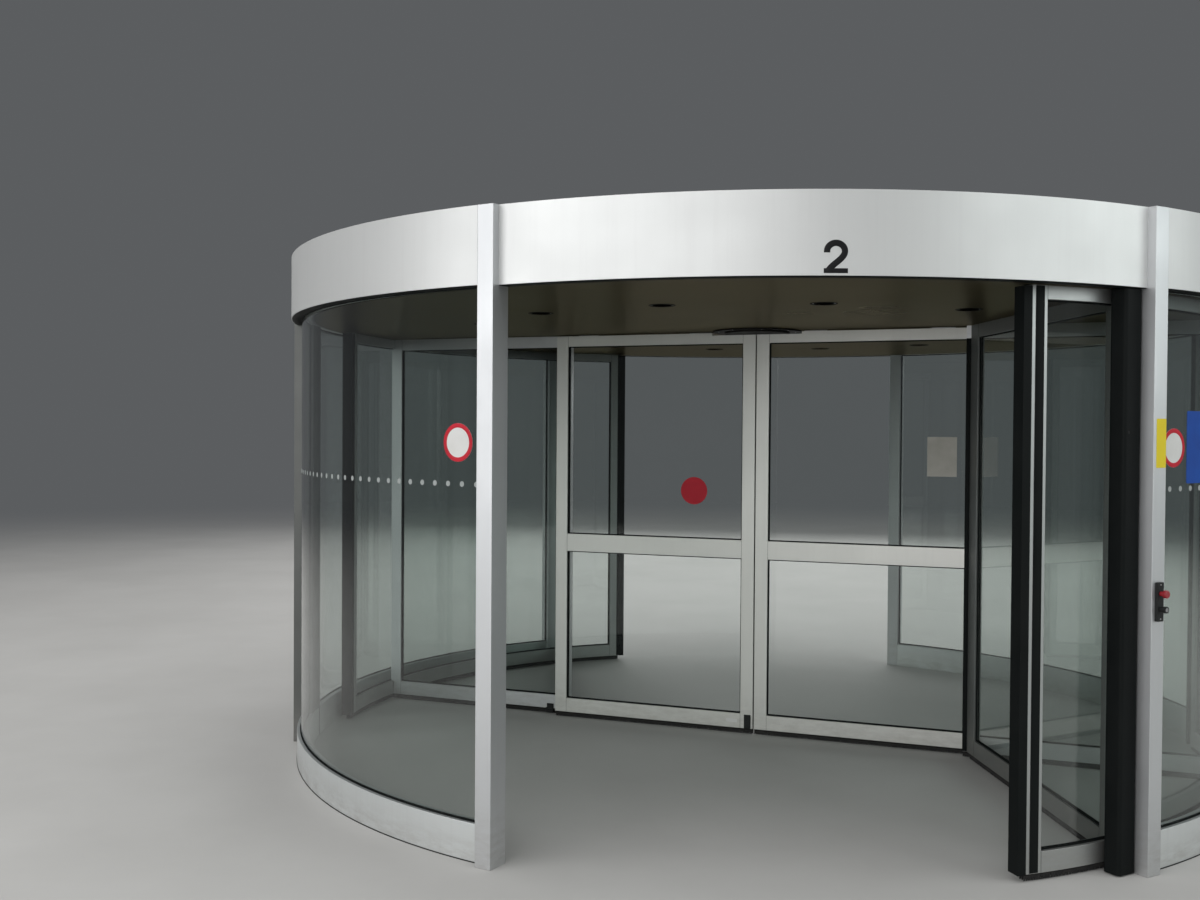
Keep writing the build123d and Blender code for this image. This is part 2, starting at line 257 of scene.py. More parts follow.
def buildStripTree():
    # a strip with a rounded rectangle for its section, swept along each path
    sizes = {"Width": 0.008, "Thickness": 0.006, "Edge Round": 0.0005, "Corner Round": 0.003}
    tree, given, sockets = newPathTree("stripAlongPath", sizes)
    facing = attributeOf(tree, "facing", "FLOAT_VECTOR")
    corner = attributeOf(tree, "corner", "FLOAT")
    line = put(tree, "GeometryNodeMeshToCurve", {"Mesh": given["Path"]})
    bend = times(tree, corner, given["Corner Round"])
    line = put(
        tree, "GeometryNodeFilletCurve",
        {"Curve": line, "Radius": bend, "Count": 3, "Limit Radius": True}, mode="POLY",
    )
    line = put(tree, "GeometryNodeSetCurveNormal", {"Curve": line, "Normal": facing}, mode="FREE")
    section = put(
        tree, "GeometryNodeCurvePrimitiveQuadrilateral",
        {"Width": given["Thickness"], "Height": given["Width"]}, mode="RECTANGLE",
    )
    section = put(
        tree, "GeometryNodeFilletCurve",
        {"Curve": section, "Radius": given["Edge Round"], "Count": 1, "Limit Radius": True}, mode="POLY",
    )
    strip = put(
        tree, "GeometryNodeCurveToMesh", {"Curve": line, "Profile Curve": section, "Fill Caps": True}
    )
    endTree(tree, [(strip, given["Finish"])])
    return tree, sockets


def spreadOut(tree, given, shape):
    # copies of a shape at even spacing along each path, standing the way that the path faces
    line = put(tree, "GeometryNodeMeshToCurve", {"Mesh": given["Path"]})
    spots = put(
        tree, "GeometryNodeResampleCurve", {"Curve": line, "Length": given["Spacing"]}, mode="LENGTH"
    )
    facing = attributeOf(tree, "facing", "FLOAT_VECTOR")
    if "Lean" in given:
        shift = put(
            tree, "FunctionNodeRandomValue", {"Min": (-1, -1, 0), "Max": (1, 1, 0), "Seed": 7},
            data_type="FLOAT_VECTOR",
        )
        shift = put(tree, "ShaderNodeVectorMath", {0: shift, "Scale": given["Lean"]}, operation="SCALE")
        facing = put(tree, "ShaderNodeVectorMath", {0: facing, 1: shift}, operation="ADD")
    turn = put(tree, "FunctionNodeAlignRotationToVector", {"Vector": facing}, axis="Z")
    return put(
        tree, "GeometryNodeInstanceOnPoints", {"Points": spots, "Instance": shape, "Rotation": turn}
    )


def buildBrushTree():
    # tufts of bristles that hang the way each path faces, each a little out of line
    sizes = {"Spacing": 0.0026, "Length": 0.02, "Root": 0.0014, "Tip": 0.0009, "Lean": 0.09}
    tree, given, sockets = newPathTree("brushAlongPath", sizes)
    tuft = put(
        tree, "GeometryNodeMeshCone",
        {
            "Vertices": 5, "Radius Top": given["Tip"], "Radius Bottom": given["Root"],
            "Depth": given["Length"],
        },
    )
    endTree(tree, [(spreadOut(tree, given, tuft), given["Finish"])])
    return tree, sockets


def buildStudTree():
    # low round heads or dots at even spacing along each path
    sizes = {"Spacing": 0.1, "Radius": 0.004, "Height": 0.002, "Top Share": 0.8, "Sides": 16}
    tree, given, sockets = newPathTree("studsAlongPath", sizes)
    top = times(tree, given["Radius"], given["Top Share"])
    stud = put(
        tree, "GeometryNodeMeshCone",
        {
            "Vertices": given["Sides"], "Radius Top": top, "Radius Bottom": given["Radius"],
            "Depth": given["Height"],
        },
    )
    endTree(tree, [(spreadOut(tree, given, stud), given["Finish"])])
    return tree, sockets


def buildLampTree():
    # a downlight: rolled trim ring round a slightly domed lens
    sizes = {
        "Spacing": 0.5, "Radius": 0.05, "Trim": 0.0035, "Lens Drop": 0.0016, "Lens Rim": 0.96,
        "Lens Dome": 0.8,
    }
    tree, given, sockets = newPathTree("lampsAlongPath", sizes, ("Finish", "Lens Finish"))
    circle = put(
        tree, "GeometryNodeCurvePrimitiveCircle", {"Resolution": 32, "Radius": given["Radius"]},
        mode="RADIUS",
    )
    section = put(
        tree, "GeometryNodeCurvePrimitiveCircle", {"Resolution": 8, "Radius": given["Trim"]},
        mode="RADIUS",
    )
    ring = put(tree, "GeometryNodeCurveToMesh", {"Curve": circle, "Profile Curve": section})
    rim, dome = [times(tree, given["Radius"], given[share]) for share in ("Lens Rim", "Lens Dome")]
    lens = put(
        tree, "GeometryNodeMeshCone",
        {"Vertices": 32, "Radius Top": dome, "Radius Bottom": rim, "Depth": given["Lens Drop"]},
    )
    shapes = ((ring, given["Finish"]), (lens, given["Lens Finish"]))
    endTree(tree, [(spreadOut(tree, given, shape), finish) for shape, finish in shapes])
    return tree, sockets


stripTree = buildStripTree()
brushTree = buildBrushTree()
studTree = buildStudTree()
lampTree = buildLampTree()


def linked(name, mesh):
    piece = bpy.data.objects.new(name, mesh)
    scene.collection.objects.link(piece)
    return piece


def settle(piece, body):
    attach(piece, body)


def grow(name, paths, way, sizes, body):
    # run a tree over the paths and keep the plain mesh that comes out
    tree, sockets = way
    spots, edges = [], []
    for path in paths:
        first = len(spots)
        spots += path["points"]
        last = len(spots) - 1
        edges += [(index, index + 1) for index in range(first, last)]
        if path["closed"]:
            edges.append((last, first))
    mesh = bpy.data.meshes.new(name + ".path")
    mesh.from_pydata([point for point, facing, corner in spots], edges, [])
    facings = mesh.attributes.new("facing", "FLOAT_VECTOR", "POINT")
    facings.data.foreach_set("vector", [number for point, facing, corner in spots for number in facing])
    corners = mesh.attributes.new("corner", "FLOAT", "POINT")
    corners.data.foreach_set("value", [corner for point, facing, corner in spots])
    guide = linked(name + ".guide", mesh)
    modifier = guide.modifiers.new("grow", "NODES")
    modifier.node_group = tree
    for label, value in sizes.items():
        modifier[sockets[label]] = value
    graph = bpy.context.evaluated_depsgraph_get()
    grown = bpy.data.meshes.new_from_object(guide.evaluated_get(graph))
    guide.modifiers.remove(modifier)
    bpy.data.objects.remove(guide)
    bpy.data.meshes.remove(mesh)
    grown.name = name
    used = [index for index, finish in enumerate(grown.materials) if finish]
    finishes = [grown.materials[index] for index in used]
    places = [used.index(face.material_index) for face in grown.polygons]
    grown.materials.clear()
    for finish in finishes:
        grown.materials.append(finish)
    grown.polygons.foreach_set("material_index", places)
    shell = bmesh.new()
    shell.from_mesh(grown)
    bmesh.ops.recalc_face_normals(shell, faces=shell.faces)
    shell.to_mesh(grown)
    shell.free()
    settle(linked(name, grown), body)


def strips(name, paths, body, slot, finish, shape, **own):
    # strips of one section along the paths, with edge and corner as radii
    shape = {"edge": 0.0, "corner": 0.0, **shape, **own}
    sizes = {
        "Width": shape["width"], "Thickness": shape["thickness"], "Edge Round": shape["edge"],
        "Corner Round": shape["corner"], "Finish": finishes[finish],
    }
    grow(name, paths, stripTree, sizes, body)


def studs(name, paths, body, slot, finish, shape, **own):
    # round heads or dots along the paths; topShare is the top's radius as a share of the foot's
    shape = {"pitch": onePerPath, "topShare": 0.7, "sides": 14, **shape, **own}
    sizes = {
        "Spacing": shape["pitch"], "Radius": shape["radius"], "Height": shape["height"],
        "Top Share": shape["topShare"], "Sides": shape["sides"], "Finish": finishes[finish],
    }
    grow(name, paths, studTree, sizes, body)


# Plates laid on a surface, cut into columns so that they follow a round one

plateCut = {"arcs": 7, "step": 30 * mm, "leastCorner": 0.1 * mm, "weld": 0.02 * mm}


def plateColumns(width, height, corner):
    inner = width / 2 - corner
    turns = [pi / 2 * index / plateCut["arcs"] for index in range(plateCut["arcs"] + 1)]
    right = [(inner + corner * sin(t), height / 2 - corner + corner * cos(t)) for t in turns]
    left = [(-across, tall) for across, tall in reversed(right)]
    count = ceil(2 * inner / plateCut["step"]) if inner > 0 else 0
    flat = [(-inner + 2 * inner * index / count, height / 2) for index in range(1, count)]
    return left + flat + right


def addPlate(shell, place, shape):
    # closed plate with a chamfered rim; across and height place its middle, and a radius makes it round
    chamfer, lift = shape["chamfer"], shape["thickness"]
    if "radius" in shape:
        width, tall, corner = 2 * shape["radius"], 2 * shape["radius"], shape["radius"]
    else:
        width, tall, corner = shape["width"], shape["tall"], shape["corner"]
    rings = []
    for inset, level in ((0.0, -shape.get("sink", 0.0)), (0.0, lift - chamfer), (chamfer, lift)):
        insetCorner = max(corner - inset, plateCut["leastCorner"])
        columns = plateColumns(width - 2 * inset, tall - 2 * inset, insetCorner)
        outline = [(s, -v) for s, v in columns]
        outline += [(s, v) for s, v in reversed(columns)]
        rings.append([
            shell.verts.new(place(shape["across"] + s, shape["height"] + v, level)[0])
            for s, v in outline
        ])
    count = len(rings[0])
    for low, high in zip(rings, rings[1:]):
        for index in range(count):
            after = (index + 1) % count
            shell.faces.new((low[index], low[after], high[after], high[index]))
    for ring in (rings[0], rings[-1]):
        for index in range(count // 2 - 1):
            shell.faces.new((ring[index], ring[index + 1], ring[-2 - index], ring[-1 - index]))


def plates(name, body, slot, finish, *sheets):
    # one piece made of plates, each given as a surface and the plate's settings
    shell = bmesh.new()
    for place, shape in sheets:
        addPlate(shell, place, shape)
    bmesh.ops.remove_doubles(shell, verts=shell.verts, dist=plateCut["weld"])
    bmesh.ops.recalc_face_normals(shell, faces=shell.faces)
    mesh = bpy.data.meshes.new(name)
    shell.to_mesh(mesh)
    shell.free()
    mesh.materials.append(finishes[finish])
    settle(linked(name, mesh), body)


# Finishes

def newFinish(name):
    finish = bpy.data.materials.new(name)
    finish.use_nodes = True
    tree = finish.node_tree
    tree.nodes.clear()
    output = tree.nodes.new("ShaderNodeOutputMaterial")
    shader = tree.nodes.new("ShaderNodeBsdfPrincipled")
    fill(output, {"Surface": shader.outputs[0]})
    return finish, tree, shader, output


def objectCoordinates(tree, stretch=(1, 1, 1)):
    place = tree.nodes.new("ShaderNodeTexCoord").outputs["Object"]
    return put(tree, "ShaderNodeMapping", {"Vector": place, "Scale": stretch})


def noiseAt(tree, coordinates, scale, detail, rough):
    return put(
        tree, "ShaderNodeTexNoise",
        {"Vector": coordinates, "Scale": scale, "Detail": detail, "Roughness": rough},
    )


def ranged(tree, value, source, target=(0.0, 1.0), curve="LINEAR"):
    # value taken from one range to another
    return put(
        tree, "ShaderNodeMapRange",
        {
            "Value": value, "From Min": source[0], "From Max": source[1], "To Min": target[0],
            "To Max": target[1],
        },
        interpolation_type=curve,
    )


def blendColours(tree, share, first, second):
    return put(
        tree, "ShaderNodeMix", {"Factor": share, "A": first, "B": second}, data_type="RGBA"
    )


def rgba(colour):
    return (*colour, 1.0)


def bumpFrom(tree, height, strength, depth):
    return put(tree, "ShaderNodeBump", {"Height": height, "Strength": strength, "Distance": depth})


metalPattern = {
    "cloudScale": 2.3,
    "streakStretch": (38, 38, 1.1),  # narrow and tall, as rain runs
    "scuffStretch": (9, 9, 30),      # wide and low, as feet and cases leave them
    "grainScale": 900.0,
    "grainDepth": 0.2 * mm,
    "shineSpread": (-0.05, 0.06),
    "dustRoughness": 0.15,
}


def metalFinish(name, settings):
    # satin anodised aluminium: soft clouding, rain streaks, dust and scuffs near the floor
    finish, tree, shader, output = newFinish(name)
    place = objectCoordinates(tree)
    clouds = noiseAt(tree, place, metalPattern["cloudScale"], detail=4.0, rough=0.55)
    streakPlace = objectCoordinates(tree, metalPattern["streakStretch"])
    streaks = noiseAt(tree, streakPlace, 1.0, detail=3.0, rough=0.6)
    grain = noiseAt(tree, place, metalPattern["grainScale"], detail=2.0, rough=0.6)
    scuffPlace = objectCoordinates(tree, metalPattern["scuffStretch"])
    scuffs = noiseAt(tree, scuffPlace, 1.0, detail=6.0, rough=0.7)
    height = put(tree, "ShaderNodeSeparateXYZ", {"Vector": place}).node.outputs["Z"]
    nearFloor = ranged(tree, height, (0.0, settings["dustHeight"]), (1.0, 0.0), "SMOOTHSTEP")
    dust = times(tree, nearFloor, ranged(tree, scuffs, (0.35, 0.75), (0.15, 1.0)))
    cloudShare = ranged(tree, clouds, (0.3, 0.7))
    colour = blendColours(tree, cloudShare, rgba(settings["colour"]), rgba(settings["cloudColour"]))
    streakShare = ranged(tree, streaks, (0.5, 0.8), (0.0, settings["streaks"]))
    colour = blendColours(tree, streakShare, colour, rgba(settings["streakColour"]))
    dustShare = times(tree, dust, settings["dust"])
    colour = blendColours(tree, dustShare, colour, rgba(settings["dustColour"]))
    smooth, dull = (settings["roughness"] + spread for spread in metalPattern["shineSpread"])
    shine = ranged(tree, clouds, (0.25, 0.75), (smooth, dull))
    dustRough = times(tree, dust, metalPattern["dustRoughness"])
    fill(shader, {
        "Base Color": colour,
        "Metallic": settings["metallic"],
        "Roughness": put(tree, "ShaderNodeMath", {0: shine, 1: dustRough}, operation="ADD"),
        "Normal": bumpFrom(tree, grain, settings["grain"], metalPattern["grainDepth"]),
    })
    return finish


plainGrainDepth = 0.4 * mm


def plainFinish(name, settings):
    # rubber, plastics, paint and films: a base colour that drifts a little, fine grain, uneven gloss
    finish, tree, shader, output = newFinish(name)
    place = objectCoordinates(tree)
    drift = noiseAt(tree, place, settings["driftScale"], detail=4.0, rough=0.55)
    grain = noiseAt(tree, place, settings["grainScale"], detail=2.0, rough=0.6)
    share = ranged(tree, drift, (0.3, 0.7))
    colour = blendColours(tree, share, rgba(settings["colour"]), rgba(settings["driftColour"]))
    spread = settings["roughSpread"]
    smooth, dull = settings["roughness"] - spread, settings["roughness"] + spread
    fill(shader, {
        "Base Color": colour,
        "Metallic": settings.get("metallic", 0.0),
        "Roughness": ranged(tree, drift, (0.25, 0.75), (smooth, dull)),
        "Normal": bumpFrom(tree, grain, settings["grain"], plainGrainDepth),
        "Coat Weight": settings.get("coat", 0.0),
        "Specular IOR Level": settings.get("specular", 0.5),
        "Specular Tint": rgba(settings.get("edgeTint", (1, 1, 1))),
    })
    return finish


glassPattern = {"waveStretch": (0.8, 0.8, 3.2), "waveDepth": 4 * mm, "hazeScale": 1.7}


def glassFinish(name, settings):
    # tinted float glass with a faint roller wave; light passes through it to make pale shadows
    finish, tree, shader, output = newFinish(name)
    wavePlace = objectCoordinates(tree, glassPattern["waveStretch"])
    wave = noiseAt(tree, wavePlace, 1.0, detail=1.0, rough=0.4)
    haze = noiseAt(tree, objectCoordinates(tree), glassPattern["hazeScale"], detail=5.0, rough=0.6)
    share = ranged(tree, haze, (0.3, 0.7))
    colour = blendColours(tree, share, rgba(settings["colour"]), rgba(settings["hazeColour"]))
    fill(shader, {
        "Base Color": colour,
        "Roughness": settings["roughness"],
        "IOR": settings["ior"],
        "Transmission Weight": 1.0,
        "Normal": bumpFrom(tree, wave, settings["wave"], glassPattern["waveDepth"]),
    })
    clear = put(tree, "ShaderNodeBsdfTransparent", {"Color": rgba(settings["shadowColour"])})
    shadow = tree.nodes.new("ShaderNodeLightPath").outputs["Is Shadow Ray"]
    mixed = put(tree, "ShaderNodeMixShader", {0: shadow, 1: shader.outputs[0], 2: clear})
    fill(output, {"Surface": mixed})
    return finish


silver = {
    "colour": (0.7, 0.715, 0.73), "cloudColour": (0.65, 0.665, 0.68),
    "streakColour": (0.56, 0.57, 0.58), "dustColour": (0.36, 0.34, 0.31), "streaks": 0.18,
    "dust": 0.5, "dustHeight": 0.34, "metallic": 0.85, "roughness": 0.38, "grain": 0.12,
}
metals = {  # each is silver with the changes given here
    "anodisedSilver": {},
    "canopySkin": {
        "colour": (0.7, 0.71, 0.705), "cloudColour": (0.665, 0.675, 0.67),
        "streakColour": (0.6, 0.6, 0.6), "streaks": 0.22, "metallic": 0.45, "roughness": 0.45,
    },
    "kerbMetal": {
        "colour": (0.76, 0.79, 0.79), "cloudColour": (0.71, 0.735, 0.735), "dust": 0.6,
        "dustHeight": 0.15, "metallic": 0.7,
    },
    "postSilver": {
        "colour": (0.62, 0.633, 0.645), "cloudColour": (0.58, 0.592, 0.605),
        "streakColour": (0.5, 0.51, 0.52), "metallic": 0.8, "roughness": 0.42,
    },
    "leafSilver": {
        "colour": (0.74, 0.74, 0.705), "cloudColour": (0.7, 0.7, 0.67),
        "streakColour": (0.61, 0.61, 0.585), "metallic": 0.6, "roughness": 0.42,
    },
    "shadedSilver": {
        "colour": (0.24, 0.25, 0.245), "cloudColour": (0.2, 0.21, 0.205),
        "streakColour": (0.18, 0.185, 0.18), "metallic": 0.7, "roughness": 0.45,
    },
    # painted shade: the curved frames get the same silver made darker, so that the fill light's reflection in them
    # stays dim
    "curvedShadeSilver": {
        "colour": (0.45, 0.465, 0.46), "cloudColour": (0.41, 0.425, 0.42),
        "streakColour": (0.36, 0.365, 0.36), "roughness": 0.44,
    },
    # painted shade: the wall posts get the same silver made dark grey, so that they read as lying in shadow
    "wallShadeSilver": {
        "colour": (0.15, 0.155, 0.15), "cloudColour": (0.12, 0.125, 0.12),
        "streakColour": (0.1, 0.1, 0.1), "dust": 0.3, "metallic": 0.6, "roughness": 0.5,
    },
    "bareSteel": {
        "colour": (0.46, 0.46, 0.47), "cloudColour": (0.4, 0.4, 0.41), "dust": 0.1,
        "metallic": 0.9, "roughness": 0.32, "grain": 0.3,
    },
    "roofSheet": {
        "colour": (0.4, 0.41, 0.42), "cloudColour": (0.31, 0.315, 0.31),
        "streakColour": (0.26, 0.25, 0.23), "streaks": 0.5, "dust": 0.0, "metallic": 0.1,
        "roughness": 0.6,
    },
}
glassTint = {
    "colour": (0.83, 0.865, 0.85), "hazeColour": (0.8, 0.84, 0.825),
    "shadowColour": (0.92, 0.945, 0.935), "wave": 0.07, "roughness": 0.012, "ior": 1.4,
}
film = {
    "driftScale": 9.0, "grainScale": 600.0, "grain": 0.08, "roughness": 0.5, "roughSpread": 0.07,
    "specular": 0.16,
}
plains = {
    "sealRubber": {
        "colour": (0.005, 0.0065, 0.0065), "driftColour": (0.008, 0.0095, 0.0095),
        "driftScale": 6.0, "grainScale": 700.0, "grain": 0.25, "roughness": 0.6,
        "roughSpread": 0.08, "specular": 0.09,
    },
    "brushFibre": {
        "colour": (0.012, 0.012, 0.013), "driftColour": (0.03, 0.028, 0.026), "driftScale": 30.0,
        "grainScale": 900.0, "grain": 0.5, "roughness": 0.8, "roughSpread": 0.08,
    },
    "ceilingPanel": {
        "colour": (0.045, 0.037, 0.022), "driftColour": (0.054, 0.045, 0.028), "driftScale": 0.4,
        "grainScale": 500.0, "grain": 0.0, "roughness": 0.3, "roughSpread": 0.05, "metallic": 0.5,
        "edgeTint": (0.75, 0.68, 0.52), "specular": 0.0,
    },
    "coverDark": {
        "colour": (0.011, 0.01, 0.009), "driftColour": (0.017, 0.016, 0.015), "driftScale": 5.0,
        "grainScale": 500.0, "grain": 0.1, "roughness": 0.55, "roughSpread": 0.06, "specular": 0.1,
    },
    "blackPlastic": {
        "colour": (0.012, 0.013, 0.013), "driftColour": (0.018, 0.019, 0.019), "driftScale": 22.0,
        "grainScale": 1300.0, "grain": 0.3, "roughness": 0.5, "roughSpread": 0.06, "specular": 0.2,
    },
    "redPlastic": {
        "colour": (0.3, 0.014, 0.022), "driftColour": (0.26, 0.012, 0.02), "driftScale": 40.0,
        "grainScale": 1300.0, "grain": 0.12, "roughness": 0.3, "roughSpread": 0.05, "coat": 0.3,
    },
    "whiteFilm": {**film, "colour": (0.71, 0.71, 0.7), "driftColour": (0.65, 0.65, 0.63)},
    "redFilm": {**film, "colour": (0.55, 0.022, 0.04), "driftColour": (0.46, 0.02, 0.035)},
    "blueFilm": {**film, "colour": (0.012, 0.075, 0.36), "driftColour": (0.015, 0.062, 0.3)},
    "yellowFilm": {**film, "colour": (0.76, 0.62, 0.03), "driftColour": (0.68, 0.55, 0.03)},
    "blackFilm": {**film, "colour": (0.008, 0.008, 0.009), "driftColour": (0.013, 0.013, 0.014)},
    "frostFilm": {
        **film, "colour": (0.36, 0.385, 0.38), "driftColour": (0.3, 0.325, 0.32), "roughness": 0.7,
    },
    "paperSheet": {
        **film, "colour": (0.5, 0.49, 0.45), "driftColour": (0.42, 0.41, 0.37), "driftScale": 14.0,
        "grainScale": 260.0, "grain": 0.35, "roughness": 0.85,
    },
    "lampLens": {
        "colour": (0.03, 0.03, 0.03), "driftColour": (0.05, 0.05, 0.048), "driftScale": 40.0,
        "grainScale": 300.0, "grain": 0.3, "roughness": 0.12, "roughSpread": 0.03, "coat": 0.6,
    },
}
finishes = {name: metalFinish(name, {**silver, **own}) for name, own in metals.items()}
finishes["tintedGlass"] = glassFinish("tintedGlass", glassTint)
finishes |= {name: plainFinish(name, settings) for name, settings in plains.items()}

slotOf = {part["node"]: part["material_slot"] for part in frame["record"]["subparts"]}
slotFinish = {
    "silver_aluminium": "anodisedSilver",
    "clear_glass": "tintedGlass",
    "black_rubber": "sealRubber",
    "dark_ceiling": "ceilingPanel",
    "steel": "bareSteel",
    "canopy_sheet": "roofSheet",
    "black_plastic": "blackPlastic",
    "red_plastic": "redPlastic",
}
ownFinish = {  # by the end of a node's name, where the last that fits holds
    "centre_cover": "coverDark",
    "_post": "postSilver",
    "wall_post": "wallShadeSilver",
    "leaf_frame": "leafSilver",
    "wall_frame": "shadedSilver",
    "curved_frame": "curvedShadeSilver",
    "fascia": "canopySkin",
    "kerb": "kerbMetal",
}
for node, part in nodes.items():
    fitting = [own for ending, own in ownFinish.items() if node.endswith(ending)]
    finish = finishes[fitting[-1] if fitting else slotFinish[slotOf[node]]]
    for materialSlot in part.material_slots:
        materialSlot.link = "DATA"
        materialSlot.material = finish
print("finishes on the door's own parts")

# Softened edges on the profiles, the sheets and the button plate, so that they catch the light
edgeSoftening = {"width": 1.6 * mm, "segments": 2, "angle": radians(38), "merge": 0.01 * mm}
for node, part in nodes.items():
    if slotOf[node] in ("silver_aluminium", "canopy_sheet", "black_plastic"):
        weld = part.modifiers.new("weld", "WELD")
        weld.merge_threshold = edgeSoftening["merge"]
        bevel = part.modifiers.new("soften", "BEVEL")
        bevel.width = edgeSoftening["width"]
        bevel.segments = edgeSoftening["segments"]
        bevel.limit_method = "ANGLE"
        bevel.angle_limit = edgeSoftening["angle"]
        level = part.modifiers.new("evenShade", "WEIGHTED_NORMAL")
        level.keep_sharp = False


# The drum and the rotor's halves, measured from their nodes; a window is one face of one pane

quarters = ("front_left", "front_right", "rear_left", "rear_right")


def drumOffset(name):
    # arcs on the left side cross the half turn, so they are measured from the far side
    return pi if "left" in name else 0.0


drumWindows = []
for quarter in quarters:
    offset = drumOffset(quarter)
    turn = Matrix.Rotation(offset, 4, "Z")
    points = localPoints(f"{quarter}_glass", turn)
    radii = levels([radiusOf(point) for point in points], radiusGrain)
    heights = levels([point.z for point in points])
    first, last = span(map(angleOf, points))
    for radius, inside in ((radii[-1], False), (radii[0], True)):
        drumWindows.append({
            "name": quarter,
            "inside": inside,
            "place": roundSurface(radius, inside, turn),
            "rect": (first * radius, last * radius, heights[0], heights[-1]),
            "step": arcStep,
            "radius": radius,
            "offset": offset,
        })
drumGlassRadius = drumWindows[0]["radius"]

leafLine = (Vector((0, 0, 0)), Vector((1, 0, 0)))
paneSearch = {"flatGrain": 0.2 * mm, "cornerDepth": 6 * mm}


def measureHalf(side, turn):
    # one half of the rotor, measured in its own frame
    half = {"turn": turn, "leafLine": leafLine}
    leaf = localPoints(f"{side}_leaf_frame", turn)
    half["leafAcross"] = levels([point.x for point in leaf])
    half["leafLevels"] = levels([point.z for point in leaf])
    half["leafHalf"] = max(point.y for point in leaf)
    leafGlass = localPoints(f"{side}_leaf_glass", turn)
    half["leafPaneAcross"] = levels([point.x for point in leafGlass])
    half["leafPaneLevels"] = levels([point.z for point in leafGlass])
    half["leafPaneHalf"] = max(point.y for point in leafGlass)

    # the straight panel's pane and the slanting wall's pane share a node: depth tells them apart
    panes = localPoints(f"{side}_bay_panes", turn)
    innerFace, outerFace = levels([point.y for point in panes])[-2:]
    middle = (innerFace + outerFace) / 2
    flat = [point for point in panes if point.y > innerFace - paneSearch["flatGrain"]]
    slant = [point for point in panes if point.y <= innerFace - paneSearch["flatGrain"]]
    half["paneHalf"] = (outerFace - innerFace) / 2
    half["paneLow"], half["paneHigh"] = span(point.z for point in panes)
    half["panelLine"] = (Vector((0, middle, 0)), Vector((1, middle, 0)))
    half["panelPane"] = span(point.x for point in flat)
    onFace = levels([point.x for point in flat if abs(point.y - outerFace) < mm])
    half["panelJoints"] = span(onFace)

    # the slanting pane runs between its two shallow and its two deep corners
    depths = levels([point.y for point in slant], paneSearch["flatGrain"])
    ends = []
    for depth in (depths[-1], depths[0]):
        corners = [point for point in slant if abs(point.y - depth) <= paneSearch["cornerDepth"]]
        corner = sum(corners, Vector()) / len(corners)
        ends.append(Vector((corner.x, corner.y, 0)))
    half["slantLine"] = tuple(ends)
    half["slantLength"] = (ends[1] - ends[0]).length

    curved = localPoints(f"{side}_curved_glass", turn)
    half["curvedRadii"] = levels([radiusOf(point) for point in curved], radiusGrain)
    half["curvedAngles"] = span(map(angleOf, curved))
    half["curvedLow"], half["curvedHigh"] = span(point.z for point in curved)

    panel = localPoints(f"{side}_panel_frame", turn)
    half["bottom"], half["top"] = span(point.z for point in panel)
    front, back = span(point.y for point in panel)
    half["frameHalf"] = (back - front) / 2
    half["panelInner"] = min(point.x for point in panel)
    half["panelFoot"] = span(point.x for point in panel if point.z < half["bottom"] + mm)
    half["curvedFrame"] = localPoints(f"{side}_curved_frame", turn)
    half["frameRadii"] = levels([radiusOf(point) for point in half["curvedFrame"]], radiusGrain)
    return half


halves = {side: measureHalf(side, turn) for side, turn in sideTurn.items()}


def bothFaces(half, line, depth):
    return [straightSurface(*half[line], offset, half["turn"]) for offset in (depth, -depth)]


def bothSkins(half, radii):
    return [
        (radius, inside, roundSurface(radius, inside, half["turn"]))
        for radius, inside in ((half[radii][-1], False), (half[radii][0], True))
    ]


leafWindows = {side: [] for side in halves}
rotorWindows = []
for side, half in halves.items():
    low, lowTop, highBottom, high = half["leafPaneLevels"]
    for bottom, top in ((low, lowTop), (highBottom, high)):
        for place in bothFaces(half, "leafLine", half["leafPaneHalf"]):
            rect = (half["leafPaneAcross"][0], half["leafPaneAcross"][-1], bottom, top)
            leafWindows[side].append({"place": place, "rect": rect, "step": None})
    reaches = {"panelLine": half["panelPane"], "slantLine": (0.0, half["slantLength"])}
    for line, reach in reaches.items():
        for place in bothFaces(half, line, half["paneHalf"]):
            rect = (*reach, half["paneLow"], half["paneHigh"])
            rotorWindows.append({"place": place, "rect": rect, "step": None})
    first, last = half["curvedAngles"]
    for radius, inside, place in bothSkins(half, "curvedRadii"):
        rect = (first * radius, last * radius, half["curvedLow"], half["curvedHigh"])
        rotorWindows.append({"place": place, "rect": rect, "step": arcStep})
print("windows found:", len(drumWindows), len(rotorWindows))

# Glazing gaskets round every window, on both faces
gasket = {
    "width": 5 * mm, "thickness": 7 * mm, "drumThickness": 4 * mm, "edge": 1.2 * mm, "corner": 4 * mm,
}
for name, body, windows, thickness in (
    ("drumGaskets", "drum", drumWindows, gasket["drumThickness"]),
    ("bayGaskets", "rotor", rotorWindows, gasket["thickness"]),
    ("leftLeafGaskets", "left_leaf", leafWindows["left"], gasket["thickness"]),
    ("rightLeafGaskets", "right_leaf", leafWindows["right"], gasket["thickness"]),
):
    strips(
        name, [windowPath(window, gasket["width"] / 2, thickness / 2) for window in windows],
        body, "black_rubber", "sealRubber", gasket, thickness=thickness,
    )
print("gaskets made")

# Hairline joints where stiles and rails meet, on both faces of every frame
hairline = {"width": 1.1 * mm, "lift": 0.15 * mm, "thickness": 0.5 * mm}


def jointLines(place, across, bands):
    # upright lines at the given places, over the height of each rail
    return [uprightPath(place, s, low, high, hairline["lift"]) for s in across for low, high in bands]


def hairlines(name, lines, body):
    strips(name, lines, body, "black_rubber", "blackFilm", hairline)


